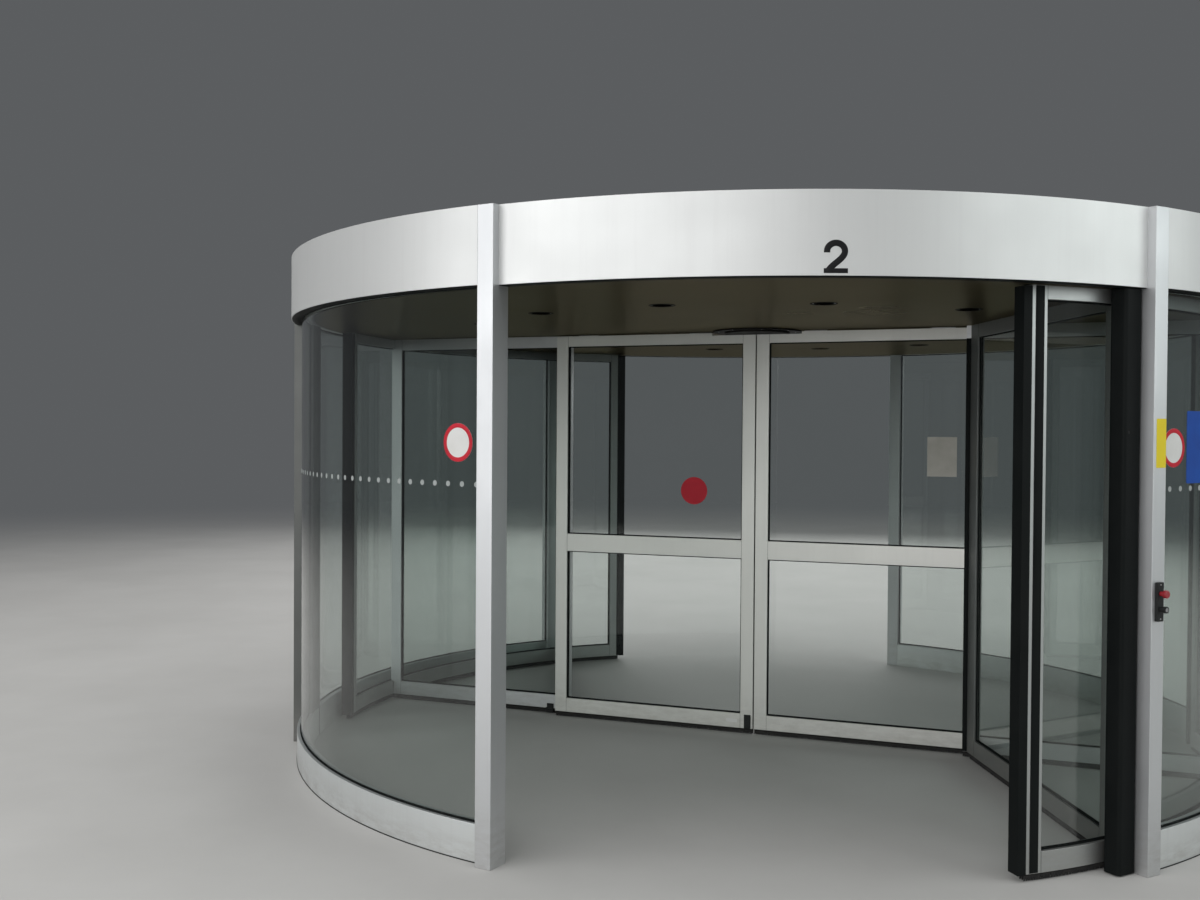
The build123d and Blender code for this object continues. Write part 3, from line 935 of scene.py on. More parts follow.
rotorJoints = []
for side, half in halves.items():
    # levels of the foot rail, the middle rail, the head rail's underside and its two top edges:
    # the head is lower where it passes the centre cover
    footLow, footHigh, middleLow, middleHigh, headLow, innerTop, outerTop = half["leafLevels"]
    rails = [(footLow, footHigh), (middleLow, middleHigh)]
    lines = []
    for place in bothFaces(half, "leafLine", half["leafHalf"]):
        for s, top in ((half["leafAcross"][1], innerTop), (half["leafAcross"][-2], outerTop)):
            lines += jointLines(place, [s], rails + [(headLow, top)])
    hairlines(f"{side}LeafJoints", lines, f"{side}_leaf")

    bands = [(half["bottom"], half["paneLow"]), (half["paneHigh"], half["top"])]
    curvedBands = [(half["bottom"], half["curvedLow"]), (half["curvedHigh"], half["top"])]
    panelPlaces = bothFaces(half, "panelLine", half["frameHalf"])
    slantPlaces = bothFaces(half, "slantLine", half["frameHalf"])
    for panelPlace, slantPlace in zip(panelPlaces, slantPlaces):
        rotorJoints += jointLines(panelPlace, half["panelJoints"], bands)
        rotorJoints += jointLines(slantPlace, (0.0, half["slantLength"]), bands)
    first, last = half["curvedAngles"]
    for radius, inside, place in bothSkins(half, "frameRadii"):
        rotorJoints += jointLines(place, (first * radius, last * radius), curvedBands)
hairlines("bayJoints", rotorJoints, "rotor")
print("joint lines made")

# Black inserts let into the curved walls' end posts: wide ones outside, narrow ones inside
insert = {
    "outerFrom": 17.4 * mm, "outerWidth": 38.4 * mm, "innerFrom": 0.0, "innerWidth": 19 * mm,
    "thickness": 1.2 * mm, "edge": 0.4 * mm, "endGap": 3 * mm,
}
insertPaths = {"outer": [], "inner": []}
for half in halves.values():
    low, high = half["bottom"] + insert["endGap"], half["top"] - insert["endGap"]
    lift = insert["thickness"] / 2
    for radius, inside, place in bothSkins(half, "frameRadii"):
        face = "inner" if inside else "outer"
        onSkin = [point for point in half["curvedFrame"] if abs(radiusOf(point) - radius) < mm]
        first, last = span(angleOf(point) * radius for point in onSkin)
        inward = insert[face + "From"] + insert[face + "Width"] / 2
        for s in (first + inward, last - inward):
            insertPaths[face].append(uprightPath(place, s, low, high, lift))
for face, paths in insertPaths.items():
    strips(
        f"{face}PostInserts", paths, "rotor", "black_rubber", "sealRubber",
        insert, width=insert[face + "Width"],
    )

# A seal up the inner edge of each straight panel, where its leaf slides past
panelSeal = {"width": 26 * mm, "thickness": 1.2 * mm, "edge": 0.4 * mm, "footGap": 2 * mm}
sealPaths = []
for half in halves.values():
    leafSide = straightSurface(*half["panelLine"], -half["frameHalf"], half["turn"])
    s = half["panelInner"] + panelSeal["width"] / 2
    lift = panelSeal["thickness"] / 2
    low = half["bottom"] + panelSeal["footGap"]
    sealPaths.append(uprightPath(leafSide, s, low, half["paneHigh"], lift))
strips("panelEdgeSeals", sealPaths, "rotor", "black_rubber", "sealRubber", panelSeal)

# Brushes under everything that turns or slides over the floor
holder = {"width": 7 * mm, "thickness": 31 * mm, "edge": 0.8 * mm}
brush = {
    "row": 12.5 * mm,
    "endGap": 4 * mm,
    "slantEnds": (70 * mm, 45 * mm),  # how far it runs past the slanting pane's two ends
    "reach": 3 * mm,
    "spacing": 3.2 * mm,
    "root": 2.1 * mm,
    "tip": 1.5 * mm,
    "lean": 0.06,
}


def brushPaths(place, first, last, bottom, step=None):
    # three rows of tufts side by side, hanging from just under the rail
    return [
        faced(tracePath(place, [(first, bottom, row), (last, bottom, row)], step=step), -up)
        for row in (-brush["row"], 0.0, brush["row"])
    ]


def holderPath(place, first, last, bottom, step=None):
    level = bottom - holder["width"] / 2
    return tracePath(place, [(first, level, 0.0), (last, level, 0.0)], step=step)


brushLabel = {"rotor": "bay", "left_leaf": "leftLeaf", "right_leaf": "rightLeaf"}
tufts = {body: [] for body in brushLabel}
holders = {body: [] for body in brushLabel}
for side, half in halves.items():
    gap = brush["endGap"]
    leafMiddle, panelMiddle, slantMiddle = [
        straightSurface(*half[line], onLine, half["turn"])
        for line in ("leafLine", "panelLine", "slantLine")
    ]
    before, after = brush["slantEnds"]
    middleRadius = sum(half["curvedRadii"]) / 2
    curvedMiddle = roundSurface(middleRadius, False, half["turn"])
    first, last = span(map(angleOf, half["curvedFrame"]))
    curvedEnds = (first * middleRadius + gap, last * middleRadius - gap)
    runs = [
        (f"{side}_leaf", leafMiddle, half["leafAcross"][0] + gap, half["leafAcross"][-1] - gap, None),
        ("rotor", panelMiddle, half["panelFoot"][0] + gap, half["panelFoot"][-1] - gap, None),
        ("rotor", slantMiddle, -before, half["slantLength"] + after, None),
        ("rotor", curvedMiddle, *curvedEnds, arcStep),
    ]
    for body, place, first, last, step in runs:
        tufts[body] += brushPaths(place, first, last, half["bottom"], step)
        holders[body].append(holderPath(place, first, last, half["bottom"], step))
bristleSizes = {
    "Spacing": brush["spacing"],
    "Length": halves["left"]["bottom"] - brush["reach"],
    "Root": brush["root"],
    "Tip": brush["tip"],
    "Lean": brush["lean"],
    "Finish": finishes["brushFibre"],
}
for body, label in brushLabel.items():
    strips(f"{label}BrushHolders", holders[body], body, "black_rubber", "coverDark", holder)
    grow(f"{label}Bristles", tufts[body], brushTree, bristleSizes, body)
print("brushes made")

# Rubber noses where the two leaves meet
nose = {"width": 16 * mm, "thickness": 2.2 * mm, "edge": 0.9 * mm, "endGap": 2 * mm}
for side, half in halves.items():
    edge = Vector((half["leafAcross"][0], 0, 0))
    meetingFace = straightSurface(edge, edge + Vector((0, 1, 0)), onLine, half["turn"])
    low = half["leafLevels"][0] + nose["endGap"]
    high = half["leafLevels"][-2] - nose["endGap"]
    path = uprightPath(meetingFace, 0.0, low, high, nose["thickness"] / 2)
    strips(f"{side}LeafNose", [path], f"{side}_leaf", "black_rubber", "sealRubber", nose)

# Lips that close the ceiling slots on both sides of the leaf hangers
slotLip = {
    "gap": 5.5 * mm, "width": 10 * mm, "thickness": 1.4 * mm, "edge": 0.4 * mm,
    "searchHalf": 15 * mm, "searchFrom": 0.2, "searchTo": 2.2,  # where the slot's corners are looked for
}
underside = levelSurface(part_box("rotor_ceiling")[0].z, facingDown=True)
lips = []
for half in halves.values():
    ceiling = localPoints("rotor_ceiling", half["turn"])
    slotEnds = span(
        point.x for point in ceiling
        if abs(point.y) < slotLip["searchHalf"] and slotLip["searchFrom"] < point.x < slotLip["searchTo"]
    )
    lift = slotLip["thickness"] / 2
    for sign in (-1, 1):
        across = sign * (slotLip["gap"] + slotLip["width"] / 2)
        ends = [half["turn"] @ Vector((x, across, 0)) for x in slotEnds]
        lips.append(tracePath(underside, [(end.x, end.y, lift) for end in ends]))
strips("slotLips", lips, "rotor", "dark_ceiling", "ceilingPanel", slotLip)

# Downlights in the ceiling: an arc over each half
lamps = {
    "radius": 1.49,
    "angles": (-58.1, -85.7, -112.5, -138.7, -165.5),
    "size": 56 * mm,
    "trim": 3 * mm,
    "lensDrop": 1.5 * mm,
    "lensRim": 0.96,
    "lensDome": 0.8,
}
lampSpots = []
for halfTurn in (0, 180):
    for place in lamps["angles"]:
        angle = radians(place + halfTurn)
        lampSpots.append((lamps["radius"] * cos(angle), lamps["radius"] * sin(angle)))
grow(
    "downlights", [spotPath(underside, *spot) for spot in lampSpots], lampTree,
    {
        "Spacing": onePerPath, "Radius": lamps["size"], "Trim": lamps["trim"],
        "Lens Drop": lamps["lensDrop"], "Lens Rim": lamps["lensRim"], "Lens Dome": lamps["lensDome"],
        "Finish": finishes["coverDark"], "Lens Finish": finishes["lampLens"],
    },
    "rotor",
)

# Centre cover: a rolled rim on the flange, a dark sleeve and plate on the core, a ring of screws
coverSides = 96
coverRim = {"width": 5 * mm, "thickness": 2 * mm, "edge": 0.8 * mm}
coverSleeve = {"thickness": 1.2 * mm, "edge": 0.3 * mm}
coverCore = {"across": 0.0, "height": 0.0, "thickness": 0.9 * mm, "chamfer": 0.3 * mm}
coverScrew = {
    "ring": 0.209, "count": 8, "pitch": 0.164, "radius": 4 * mm, "height": 1.6 * mm, "topShare": 0.75,
}
coverPoints = localPoints("centre_cover")
coreLevel, flangeLevel = levels([point.z for point in coverPoints])[:2]
coverRadius = max(radiusOf(point) for point in coverPoints)
coreRadius = max(radiusOf(point) for point in coverPoints if point.z < flangeLevel - mm)
flangeFace = levelSurface(flangeLevel, facingDown=True)
rimMiddle = coverRadius - coverRim["width"] / 2
rimPath = circlePath(flangeFace, (0, 0), rimMiddle, coverRim["thickness"] / 2, coverSides)
strips("coverRim", [rimPath], "rotor", "dark_ceiling", "coverDark", coverRim)
sleeveDrop = (flangeLevel - coreLevel) / 2
sleeveRadius = coreRadius + coverSleeve["thickness"] / 2
sleevePath = circlePath(flangeFace, (0, 0), sleeveRadius, sleeveDrop, coverSides)
sleevePath["points"] = [
    (point, Vector((point.x, point.y, 0)).normalized(), corner)
    for point, facing, corner in sleevePath["points"]
]
strips(
    "coverSleeve", [sleevePath], "rotor", "dark_ceiling", "coverDark",
    coverSleeve, width=2 * sleeveDrop,
)
plates(
    "coverCore", "rotor", "dark_ceiling", "coverDark",
    (levelSurface(coreLevel, facingDown=True), {**coverCore, "radius": coreRadius}),
)
screwPath = circlePath(flangeFace, (0, 0), coverScrew["ring"], 0.0, coverScrew["count"])
studs("coverScrews", [screwPath], "rotor", "dark_ceiling", "bareSteel", coverScrew)
print("ceiling fittings made")

# Drum: sealant under each kerb, shadow gaps beside the posts
sealant = {"width": 4 * mm, "thickness": 1.6 * mm, "edge": 0.5 * mm}
shadowGap = {"width": 2.4 * mm, "thickness": 0.7 * mm, "lift": 0.175 * mm}


def rimOf(node, turn):
    # outermost radius of a node on the drum, the ends of its arc there, and its points
    points = localPoints(node, turn)
    radius = max(radiusOf(point) for point in points)
    first, last = span(angleOf(point) for point in points if radiusOf(point) > radius - mm)
    return radius, first, last, points


kerbSeals = []
shadowGaps = []
for quarter in quarters:
    turn = Matrix.Rotation(drumOffset(quarter), 4, "Z")
    radius, first, last, points = rimOf(f"{quarter}_kerb", turn)
    level = sealant["width"] / 2
    lift = sealant["thickness"] / 2
    ends = [(first * radius, level, lift), (last * radius, level, lift)]
    kerbSeals.append(tracePath(roundSurface(radius, False, turn), ends, step=arcStep))
    radius, first, last, points = rimOf(f"{quarter}_fascia", turn)
    face = roundSurface(radius, False, turn)
    low, high = span(point.z for point in points)
    for s in (first * radius + shadowGap["width"] / 2, last * radius - shadowGap["width"] / 2):
        shadowGaps.append(uprightPath(face, s, low, high, shadowGap["lift"]))
strips("kerbSealant", kerbSeals, "drum", "black_rubber", "sealRubber", sealant)
strips("postShadowGaps", shadowGaps, "drum", "black_rubber", "sealRubber", shadowGap)

# Black strips on the canopy's underside, outside the glass and over both openings: painted shade, a dark sheet
# where the underside would only lie in shadow
soffitShade = {"edgeGap": 3 * mm, "thickness": 2.4 * mm, "edge": 0.6 * mm, "rise": 1.2 * mm}
ringReach = max(radiusOf(point) for point in localPoints("canopy_ring"))
soffitShadePaths = {}
for node in sorted(nodes):
    if not node.endswith("fascia"):
        continue
    turn = Matrix.Rotation(drumOffset(node), 4, "Z")
    skin, first, last, points = rimOf(node, turn)
    inner = drumGlassRadius if node.startswith(quarters) else ringReach
    level = min(point.z for point in points) - soffitShade["rise"]
    width = skin - inner - 2 * soffitShade["edgeGap"]
    middleRadius = (skin + inner) / 2
    under = roundSurface(middleRadius, False, turn)
    ends = [(angle * middleRadius, level, 0.0) for angle in (first, last)]
    path = faced(tracePath(under, ends, step=arcStep), -up)
    soffitShadePaths.setdefault(round(width, 4), []).append(path)
for name, (width, paths) in zip(("glassSoffitShade", "openingSoffitShade"), sorted(soffitShadePaths.items())):
    strips(name, paths, "drum", "black_rubber", "sealRubber", soffitShade, width=width)

# Dots on the two front panes, so that people see the glass: each row starts at the post
dots = {
    "level": 1.446,
    "step": radians(1.72),
    "endGap": radians(0.6),
    "radius": 11 * mm,
    "height": 0.4 * mm,
    "topShare": 0.985,
    "sides": 24,
    "lastDot": 1.0002,  # a row is a hair longer than whole steps, so that its last dot isn't lost
}
dotStart = {"front_left": radians(-122.57), "front_right": radians(-57.6)}
dotPaths = []
for window in drumWindows:
    if window["inside"] or window["name"] not in dotStart:
        continue
    radius = window["radius"]
    start = dotStart[window["name"]]
    first, last = (value / radius + window["offset"] for value in window["rect"][:2])
    turns = round((start - (first + last) / 2) / (2 * pi))
    start -= turns * 2 * pi
    sense = -1 if start > (first + last) / 2 else 1
    room = (last - start if sense > 0 else start - first) - dots["endGap"]
    stop = start + sense * int(room / dots["step"]) * dots["step"] * dots["lastDot"]
    ends = [((angle - window["offset"]) * radius, dots["level"], 0.0) for angle in (start, stop)]
    dotPaths.append(tracePath(window["place"], ends, step=arcStep / 2))
studs(
    "glassDots", dotPaths, "drum", "clear_glass", "frostFilm",
    dots, pitch=dots["step"] * drumGlassRadius,
)
print("drum trim made")

# Signs without words: round ones and a blue one on the drum glass, a yellow one on the post
roundSign = {"radius": 75 * mm, "thickness": 1.0 * mm, "chamfer": 0.3 * mm}
roundPlaces = ((radians(-124.8), 1.606), (radians(-55.35), 1.603))
signRing = {"width": 17 * mm, "thickness": 0.7 * mm, "edge": 0.15 * mm, "inset": 0.4 * mm, "sides": 64}
outerGlass = roundSurface(drumGlassRadius)
roundSpots = [(angle * drumGlassRadius, height) for angle, height in roundPlaces]
plates(
    "roundSigns", "drum", "canopy_sheet", "whiteFilm",
    *[(outerGlass, {**roundSign, "across": across, "height": height}) for across, height in roundSpots],
)
ringMiddle = roundSign["radius"] - signRing["width"] / 2 - signRing["inset"]
ringPaths = [
    circlePath(outerGlass, spot, ringMiddle, roundSign["thickness"], signRing["sides"])
    for spot in roundSpots
]
strips("roundSignRims", ringPaths, "drum", "red_plastic", "redFilm", signRing)

blueSign = {
    "left": radians(-53.2), "height": 1.6055, "width": 0.205, "tall": 0.281, "corner": 8 * mm,
    "thickness": 1.2 * mm, "chamfer": 0.3 * mm,
}
blueAcross = blueSign["left"] * drumGlassRadius + blueSign["width"] / 2
plates(
    "blueSign", "drum", "canopy_sheet", "blueFilm", (outerGlass, {**blueSign, "across": blueAcross}),
)

postPoints = localPoints("front_right_post")
postTop = max(point.z for point in postPoints)
postCorners = [point for point in postPoints if point.z > postTop - mm]
postMiddle = sum(postCorners, Vector()) / len(postCorners)
postOut = Vector((postMiddle.x, postMiddle.y, 0)).normalized()
postSide = up.cross(postOut)


def postFace(points):
    # the outermost face of a piece on the front right post, square to the post
    return straightSurface(Vector(), postSide, -max(point.dot(postOut) for point in points))


yellowSign = {
    "across": 6.5 * mm, "height": 1.6215, "width": 55 * mm, "tall": 183 * mm, "corner": 4 * mm,
    "thickness": 1.1 * mm, "chamfer": 0.3 * mm,
}
plates("yellowSign", "drum", "canopy_sheet", "yellowFilm", (postFace(postCorners), yellowSign))

# On the leaves: a red disc and a bare plate on the left one, a paper on the right one
redDisc = {
    "across": 0.349, "height": 1.324, "radius": 76 * mm, "thickness": 0.8 * mm, "chamfer": 0.2 * mm,
}
leftPane = straightSurface(*leafLine, halves["left"]["leafPaneHalf"], sideTurn["left"])
plates("redDisc", "left_leaf", "red_plastic", "redFilm", (leftPane, redDisc))
railPlate = {
    "across": 0.1207, "height": 0.0685, "width": 62 * mm, "tall": 19 * mm, "corner": 2 * mm,
    "thickness": 0.8 * mm, "chamfer": 0.2 * mm,
}
leftRail = straightSurface(*leafLine, halves["left"]["leafHalf"], sideTurn["left"])
plates("railPlate", "left_leaf", "canopy_sheet", "whiteFilm", (leftRail, railPlate))
paper = {
    "across": 0.981, "height": 1.53, "width": 0.148, "tall": 0.205, "corner": 1.5 * mm,
    "thickness": 0.5 * mm, "chamfer": 0.15 * mm,
}
rightPane = straightSurface(*leafLine, -halves["right"]["leafPaneHalf"], sideTurn["right"])
plates("paperNotice", "right_leaf", "canopy_sheet", "paperSheet", (rightPane, paper))

# The figure 2 on the canopy: a bowl on an ellipse that runs into a curved diagonal, and a base bar
figure = {
    "angle": radians(-90.13),
    "low": 2.208,
    "width": 84 * mm,
    "height": 116 * mm,
    "stroke": 22 * mm,
    "bar": 17 * mm,
    "bowlHeight": 57 * mm,
    "bowlEnd": -35,
    "bowlSteps": 24,
    "terminal": 5 * mm,
    "bendReach": 22 * mm,
    "tailReach": (7 * mm, 21 * mm),
    "tailInset": (3 * mm, 4 * mm),
    "tailSteps": 14,
    "thickness": 0.6 * mm,
    "barThickness": 0.4 * mm,  # thinner than the curve, so that no two faces coincide
    "edge": 0.15 * mm,
    "step": 20 * mm,
}
fasciaRadius = max(radiusOf(point) for point in localPoints("front_fascia"))
figureSurface = roundSurface(fasciaRadius)
figureLeft = figure["angle"] * fasciaRadius - figure["width"] / 2


def figureStroke(points):
    lift = figure["thickness"] / 2
    spots = [(figureLeft + across, figure["low"] + tall, lift) for across, tall in points]
    return uncornered(tracePath(figureSurface, spots, step=figure["step"]))


def figureCurve():
    width, stroke, bowlHeight = figure["width"], figure["stroke"], figure["bowlHeight"]
    bowl = Vector((width / 2, figure["height"] - stroke / 2 - bowlHeight / 2, 0))
    reach = Vector(((width - stroke) / 2, bowlHeight / 2, 0))
    steps = figure["bowlSteps"]
    angles = [radians(180 + (figure["bowlEnd"] - 180) * index / steps) for index in range(steps + 1)]
    curve = [bowl + Vector((reach.x * cos(angle), reach.y * sin(angle), 0)) for angle in angles]
    heading = (curve[-1] - curve[-2]).normalized()
    inset = Vector((*figure["tailInset"], 0))
    tail = Vector((stroke / 2, 0, 0)) + inset
    bend = curve[-1] + heading * figure["bendReach"]
    approach = tail + Vector((*figure["tailReach"], 0))
    curve += interpolate_bezier(curve[-1], bend, approach, tail, figure["tailSteps"])[1:]
    terminal = curve[0] - Vector((0, figure["terminal"], 0))
    return [point.xy for point in (terminal, *curve)]


strips(
    "figureCurve", [figureStroke(figureCurve())], "drum", "black_plastic", "blackFilm",
    figure, width=figure["stroke"],
)
barLevel = figure["bar"] / 2
strips(
    "figureBar", [figureStroke([(0.0, barLevel), (figure["width"], barLevel)])],
    "drum", "black_plastic", "blackFilm", figure, width=figure["bar"], thickness=figure["barThickness"],
)
print("signs made")

# Small fittings: bolt blocks on the meeting stiles, and guides at the panels' feet
boltBlock = {
    "across": 0.0325, "height": 0.0685, "width": 36 * mm, "tall": 75 * mm, "corner": 3 * mm,
    "thickness": 6 * mm, "chamfer": 1.2 * mm,
}
guide = {
    "across": 1.222, "height": 33 * mm, "width": 42 * mm, "tall": 50 * mm, "corner": 2 * mm,
    "thickness": 4 * mm, "chamfer": mm, "sink": mm,
}
guideTongue = {**guide, "height": 16 * mm, "tall": 16 * mm, "chamfer": 1.5 * mm, "sink": 0.0}
guideEar = {
    **guide, "across": 1.247, "height": 24 * mm, "width": 8 * mm, "tall": 20 * mm, "corner": 1.5 * mm,
    "thickness": 3 * mm,
}
tongueReach = 14 * mm  # past the panel's face
for side, half in halves.items():
    leafFront = straightSurface(*leafLine, half["leafHalf"], half["turn"])
    plates(f"{side}LeafBolt", f"{side}_leaf", "black_plastic", "blackPlastic", (leafFront, boltBlock))
    panelFront = straightSurface(*half["panelLine"], half["frameHalf"], half["turn"])
    panelMiddle = straightSurface(*half["panelLine"], onLine, half["turn"])
    plates(
        f"{side}LeafGuide", "rotor", "black_plastic", "blackPlastic",
        (panelFront, guide),
        (panelMiddle, {**guideTongue, "thickness": half["frameHalf"] + tongueReach}),
        (panelFront, guideEar),
    )

# Screws in the button plate, and the lock in the key switch
plateScrew = {"endGap": 9 * mm, "radius": 3.2 * mm, "height": 1.3 * mm}
buttonLow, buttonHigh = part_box("button_plate")
buttonFace = postFace(localPoints("button_plate"))
screwLevels = (buttonLow.z + plateScrew["endGap"], buttonHigh.z - plateScrew["endGap"])
screwPaths = [spotPath(buttonFace, 0.0, level, 0.5 * mm) for level in screwLevels]
studs("buttonPlateScrews", screwPaths, "drum", "steel", "bareSteel", plateScrew)
keyLow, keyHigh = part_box("key_switch")
keySpot = {"across": 0.0, "height": (keyLow.z + keyHigh.z) / 2}
keyFace = postFace(localPoints("key_switch"))
keyLock = {"radius": 7.5 * mm, "thickness": 0.8 * mm, "chamfer": 0.3 * mm}
keySlot = {
    "width": 1.8 * mm, "tall": 9 * mm, "corner": 0.8 * mm, "thickness": mm, "chamfer": 0.1 * mm,
}
plates("keyLock", "drum", "steel", "bareSteel", (keyFace, {**keySpot, **keyLock}))
plates("keySlot", "drum", "black_plastic", "coverDark", (keyFace, {**keySpot, **keySlot}))

# One cap in each safety edge
edgeCap = {"level": 1.661, "aside": 25 * mm, "radius": 6 * mm, "height": 1.5 * mm, "sides": 16}
safety = localPoints("safety_edges")
capPaths = []
for sense in (1, -1):
    strip = [point for point in safety if point.y * sense > 0]
    # the strip stands square to its post, so the face looks the way the post does
    postWay = postOut if sense < 0 else -postOut
    sideways = up.cross(postWay)
    reach = max(point.dot(postWay) for point in strip)
    along = sum(span(point.dot(sideways) for point in strip)) / 2
    spot = postWay * reach + sideways * (along - edgeCap["aside"]) + up * edgeCap["level"]
    ends = [(spot, postWay, 1.0), (spot + up * 0.5 * mm, postWay, 1.0)]
    capPaths.append({"points": ends, "closed": False})
studs("safetyEdgeCaps", capPaths, "drum", "black_rubber", "blackPlastic", edgeCap)

# Roof: cover strips over the sheet joints with their screws, and a hatch over the drive
roofPlan = {
    "strips": 5,
    "pitch": 0.8,
    "width": 26 * mm,
    "thickness": 3 * mm,
    "edge": 0.8 * mm,
    "edgeGap": 45 * mm,
    "rimGap": 18 * mm,
    "rimSides": 144,
}
roofScrew = {"endGap": 40 * mm, "pitch": 0.2, "radius": 6 * mm, "height": 2.2 * mm, "sides": 12}
hatch = {
    "across": 0.0, "height": 0.0, "width": 0.9, "tall": 0.68, "corner": 20 * mm,
    "thickness": 3.5 * mm, "chamfer": mm, "stripGap": 20 * mm, "screwInset": 30 * mm,
}
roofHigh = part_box("roof_cover")[1]
roofRadius = roofHigh.x
roofFace = levelSurface(roofHigh.z)
lift = roofPlan["thickness"] / 2
hatchReach = hatch["tall"] / 2 + hatch["stripGap"]
roofStrips = []
screwLines = []
for index in range(roofPlan["strips"]):
    across = (index - (roofPlan["strips"] - 1) / 2) * roofPlan["pitch"]
    reach = sqrt((roofRadius - roofPlan["edgeGap"]) ** 2 - across**2)
    overHatch = abs(across) < roofPlan["pitch"] / 2
    for low, high in [(-reach, -hatchReach), (hatchReach, reach)] if overHatch else [(-reach, reach)]:
        roofStrips.append(tracePath(roofFace, [(across, low, lift), (across, high, lift)]))
        ends = (low + roofScrew["endGap"], high - roofScrew["endGap"])
        screwLines.append(tracePath(roofFace, [(across, end, 2 * lift) for end in ends]))
rimRadius = roofRadius - roofPlan["rimGap"]
roofStrips.append(circlePath(roofFace, (0, 0), rimRadius, lift, roofPlan["rimSides"]))
strips("roofStrips", roofStrips, "drum", "canopy_sheet", "roofSheet", roofPlan)
plates("roofHatch", "drum", "canopy_sheet", "roofSheet", (roofFace, hatch))
screwX = hatch["width"] / 2 - hatch["screwInset"]
screwY = hatch["tall"] / 2 - hatch["screwInset"]
hatchCorners = [(-screwX, -screwY), (screwX, -screwY), (screwX, screwY), (-screwX, screwY)]
hatchLine = [(*corner, hatch["thickness"]) for corner in hatchCorners]
screwLines.append(tracePath(roofFace, hatchLine, closed=True))
studs("roofScrews", screwLines, "drum", "steel", "bareSteel", roofScrew)
print("roof made")

# Stage: pale floor that fades into the backdrop far out
stage = {
    "size": 60.0,
    "colour": (0.54, 0.535, 0.52),
    "speck": (0.5, 0.495, 0.48),
    "speckScale": 0.9,
    "roughness": 0.75,
    "fadeFrom": 7.0,
    "fadeTo": 22.0,
    "backdrop": (0.105, 0.11, 0.115),
}
floorMesh = bpy.data.meshes.new("floor")
edge = stage["size"]
floorCorners = [(-edge, -edge, 0), (edge, -edge, 0), (edge, edge, 0), (-edge, edge, 0)]
floorMesh.from_pydata(floorCorners, [], [(0, 1, 2, 3)])
floor = linked("floor", floorMesh)
floorFinish, tree, shader, output = newFinish("paleFloor")
place = objectCoordinates(tree)
speck = noiseAt(tree, place, stage["speckScale"], detail=5.0, rough=0.6)
speckShare = ranged(tree, speck, (0.35, 0.65))
colour = blendColours(tree, speckShare, rgba(stage["colour"]), rgba(stage["speck"]))
fill(shader, {"Base Color": colour, "Roughness": stage["roughness"]})
distance = put(tree, "ShaderNodeVectorMath", {0: place}, operation="LENGTH").node.outputs["Value"]
fade = ranged(tree, distance, (stage["fadeFrom"], stage["fadeTo"]), curve="SMOOTHSTEP")
glow = put(tree, "ShaderNodeEmission", {"Color": rgba(stage["backdrop"])})
faded = put(tree, "ShaderNodeMixShader", {0: fade, 1: shader.outputs[0], 2: glow})
fill(output, {"Surface": faded})
floorMesh.materials.append(floorFinish)

# World: one soft light all round, and a plain backdrop for the camera, metal and glass
softStrength = 0.34
world = bpy.data.worlds.new("studio")
scene.world = world
world.use_nodes = True
tree = world.node_tree
tree.nodes.clear()
soft = put(tree, "ShaderNodeBackground", {"Color": (1, 1, 1, 1), "Strength": softStrength})
seen = put(tree, "ShaderNodeBackground", {"Color": rgba(stage["backdrop"]), "Strength": 1.0})
ray = tree.nodes.new("ShaderNodeLightPath").outputs
sight = ray["Is Camera Ray"]
for other in ("Is Transmission Ray", "Is Glossy Ray"):
    sight = put(tree, "ShaderNodeMath", {0: sight, 1: ray[other]}, operation="MAXIMUM")
mixed = put(tree, "ShaderNodeMixShader", {0: sight, 1: soft, 2: seen})
worldOutput = tree.nodes.new("ShaderNodeOutputWorld")
fill(worldOutput, {"Surface": mixed})

# Panes don't mirror the lamps, which would show in them as hard white rectangles
lampless = bpy.data.collections.new("lampless")
for node, part in nodes.items():
    if slotOf[node] == "clear_glass":
        lampless.objects.link(part)
for entry in lampless.collection_objects:
    entry.light_linking.link_state = "EXCLUDE"

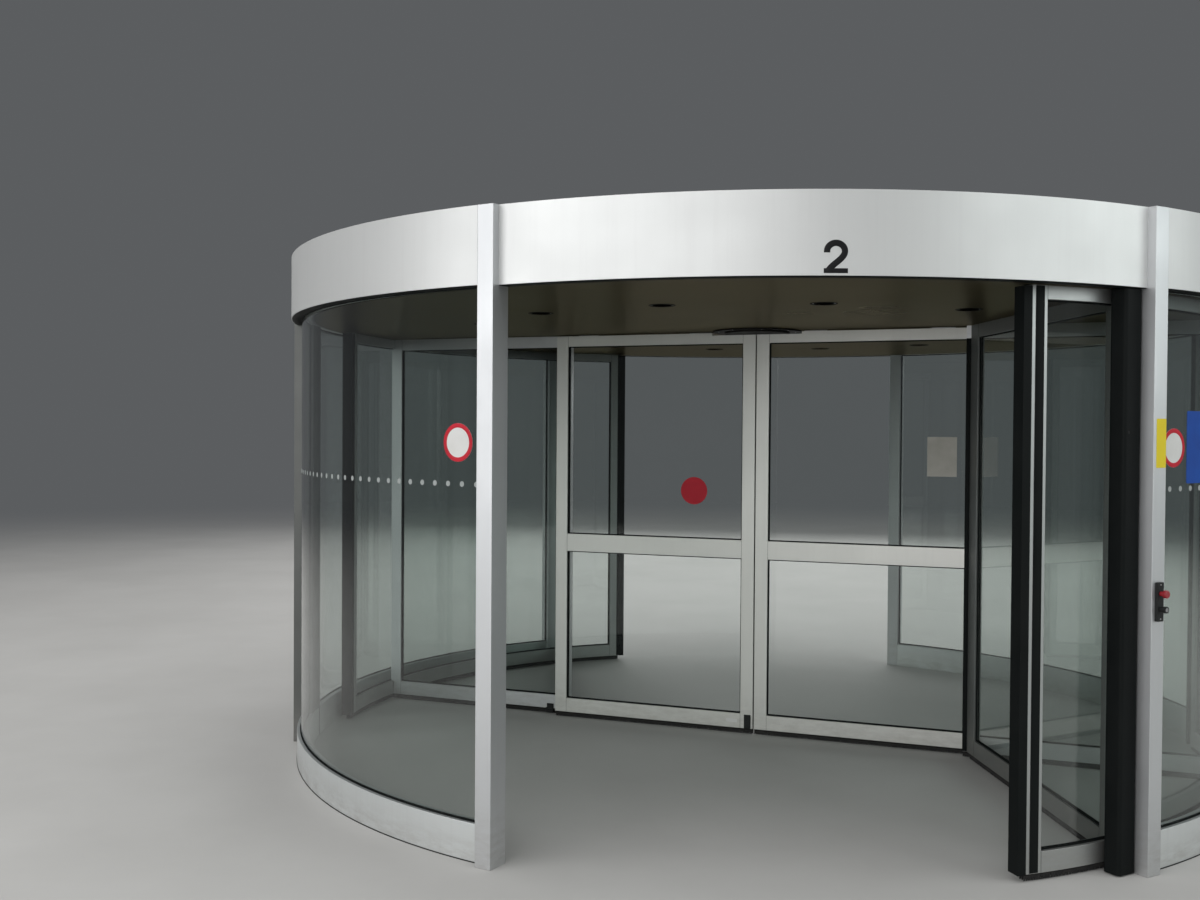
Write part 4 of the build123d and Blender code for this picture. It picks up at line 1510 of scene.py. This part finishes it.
softBoxes = {
    "topLight": {"size": (11, 11), "spot": (0, -1, 9), "aim": (0, 0, 0), "power": 480},
    "keyLight": {"size": (8.5, 9), "spot": (-11.3, -7.9, 4.8), "aim": (0, 0, 1.4), "power": 600},
    "frontLight": {"size": (8, 5), "spot": (-4.5, -12.2, 3.9), "aim": (0, 0, 1.1), "power": 290},
    "fillLight": {
        "size": (12, 6), "spot": (11.2, -7.2, 4.8), "aim": (0, 0, 1.8), "power": 470,
        "tint": (0.94, 1, 0.985),
    },
    "rearLight": {"size": (13, 6), "spot": (2, 12, 5), "aim": (0, 0, 1.2), "power": 500},
}
for name, box in softBoxes.items():
    light = bpy.data.lights.new(name, "AREA")
    light.shape = "RECTANGLE"
    light.size, light.size_y = box["size"]
    light.energy = box["power"]
    light.color = box.get("tint", (1, 1, 1))
    lamp = linked(name, light)
    way = Vector(box["aim"]) - Vector(box["spot"])
    turned = way.to_track_quat("-Z", "Y").to_matrix().to_4x4()
    lamp.matrix_world = Matrix.Translation(box["spot"]) @ turned
    lamp.visible_camera = False
    lamp.visible_transmission = False
    lamp.light_linking.receiver_collection = lampless

view = {
    "lens": 36.96,
    "sensor": 36.0,
    "clipEnd": 200.0,
    "spot": (-0.76636, -6.72809, 1.6581),
    "yaw": 0.01271,
    "pitch": 0.01632,
    "roll": 0.0064,
}
camera = linked("camera", bpy.data.cameras.new("camera"))
camera.data.sensor_width = view["sensor"]
camera.data.sensor_fit = "HORIZONTAL"
camera.data.lens = view["lens"]
camera.data.clip_end = view["clipEnd"]
camera.matrix_world = (
    Matrix.Translation(view["spot"])
    @ Matrix.Rotation(view["yaw"], 4, "Z")
    @ Matrix.Rotation(pi / 2 - view["pitch"], 4, "X")
    @ Matrix.Rotation(view["roll"], 4, "Z")
)
scene.camera = camera
scene.view_settings.view_transform = "Standard"

# Enough bounces for light to pass through several panes in a row
bounces = {
    "max_bounces": 24, "transmission_bounces": 24, "transparent_max_bounces": 32,
    "glossy_bounces": 4, "diffuse_bounces": 3,
}
for kind, count in bounces.items():
    setattr(scene.cycles, kind, count)
print("stage, lights and camera set")
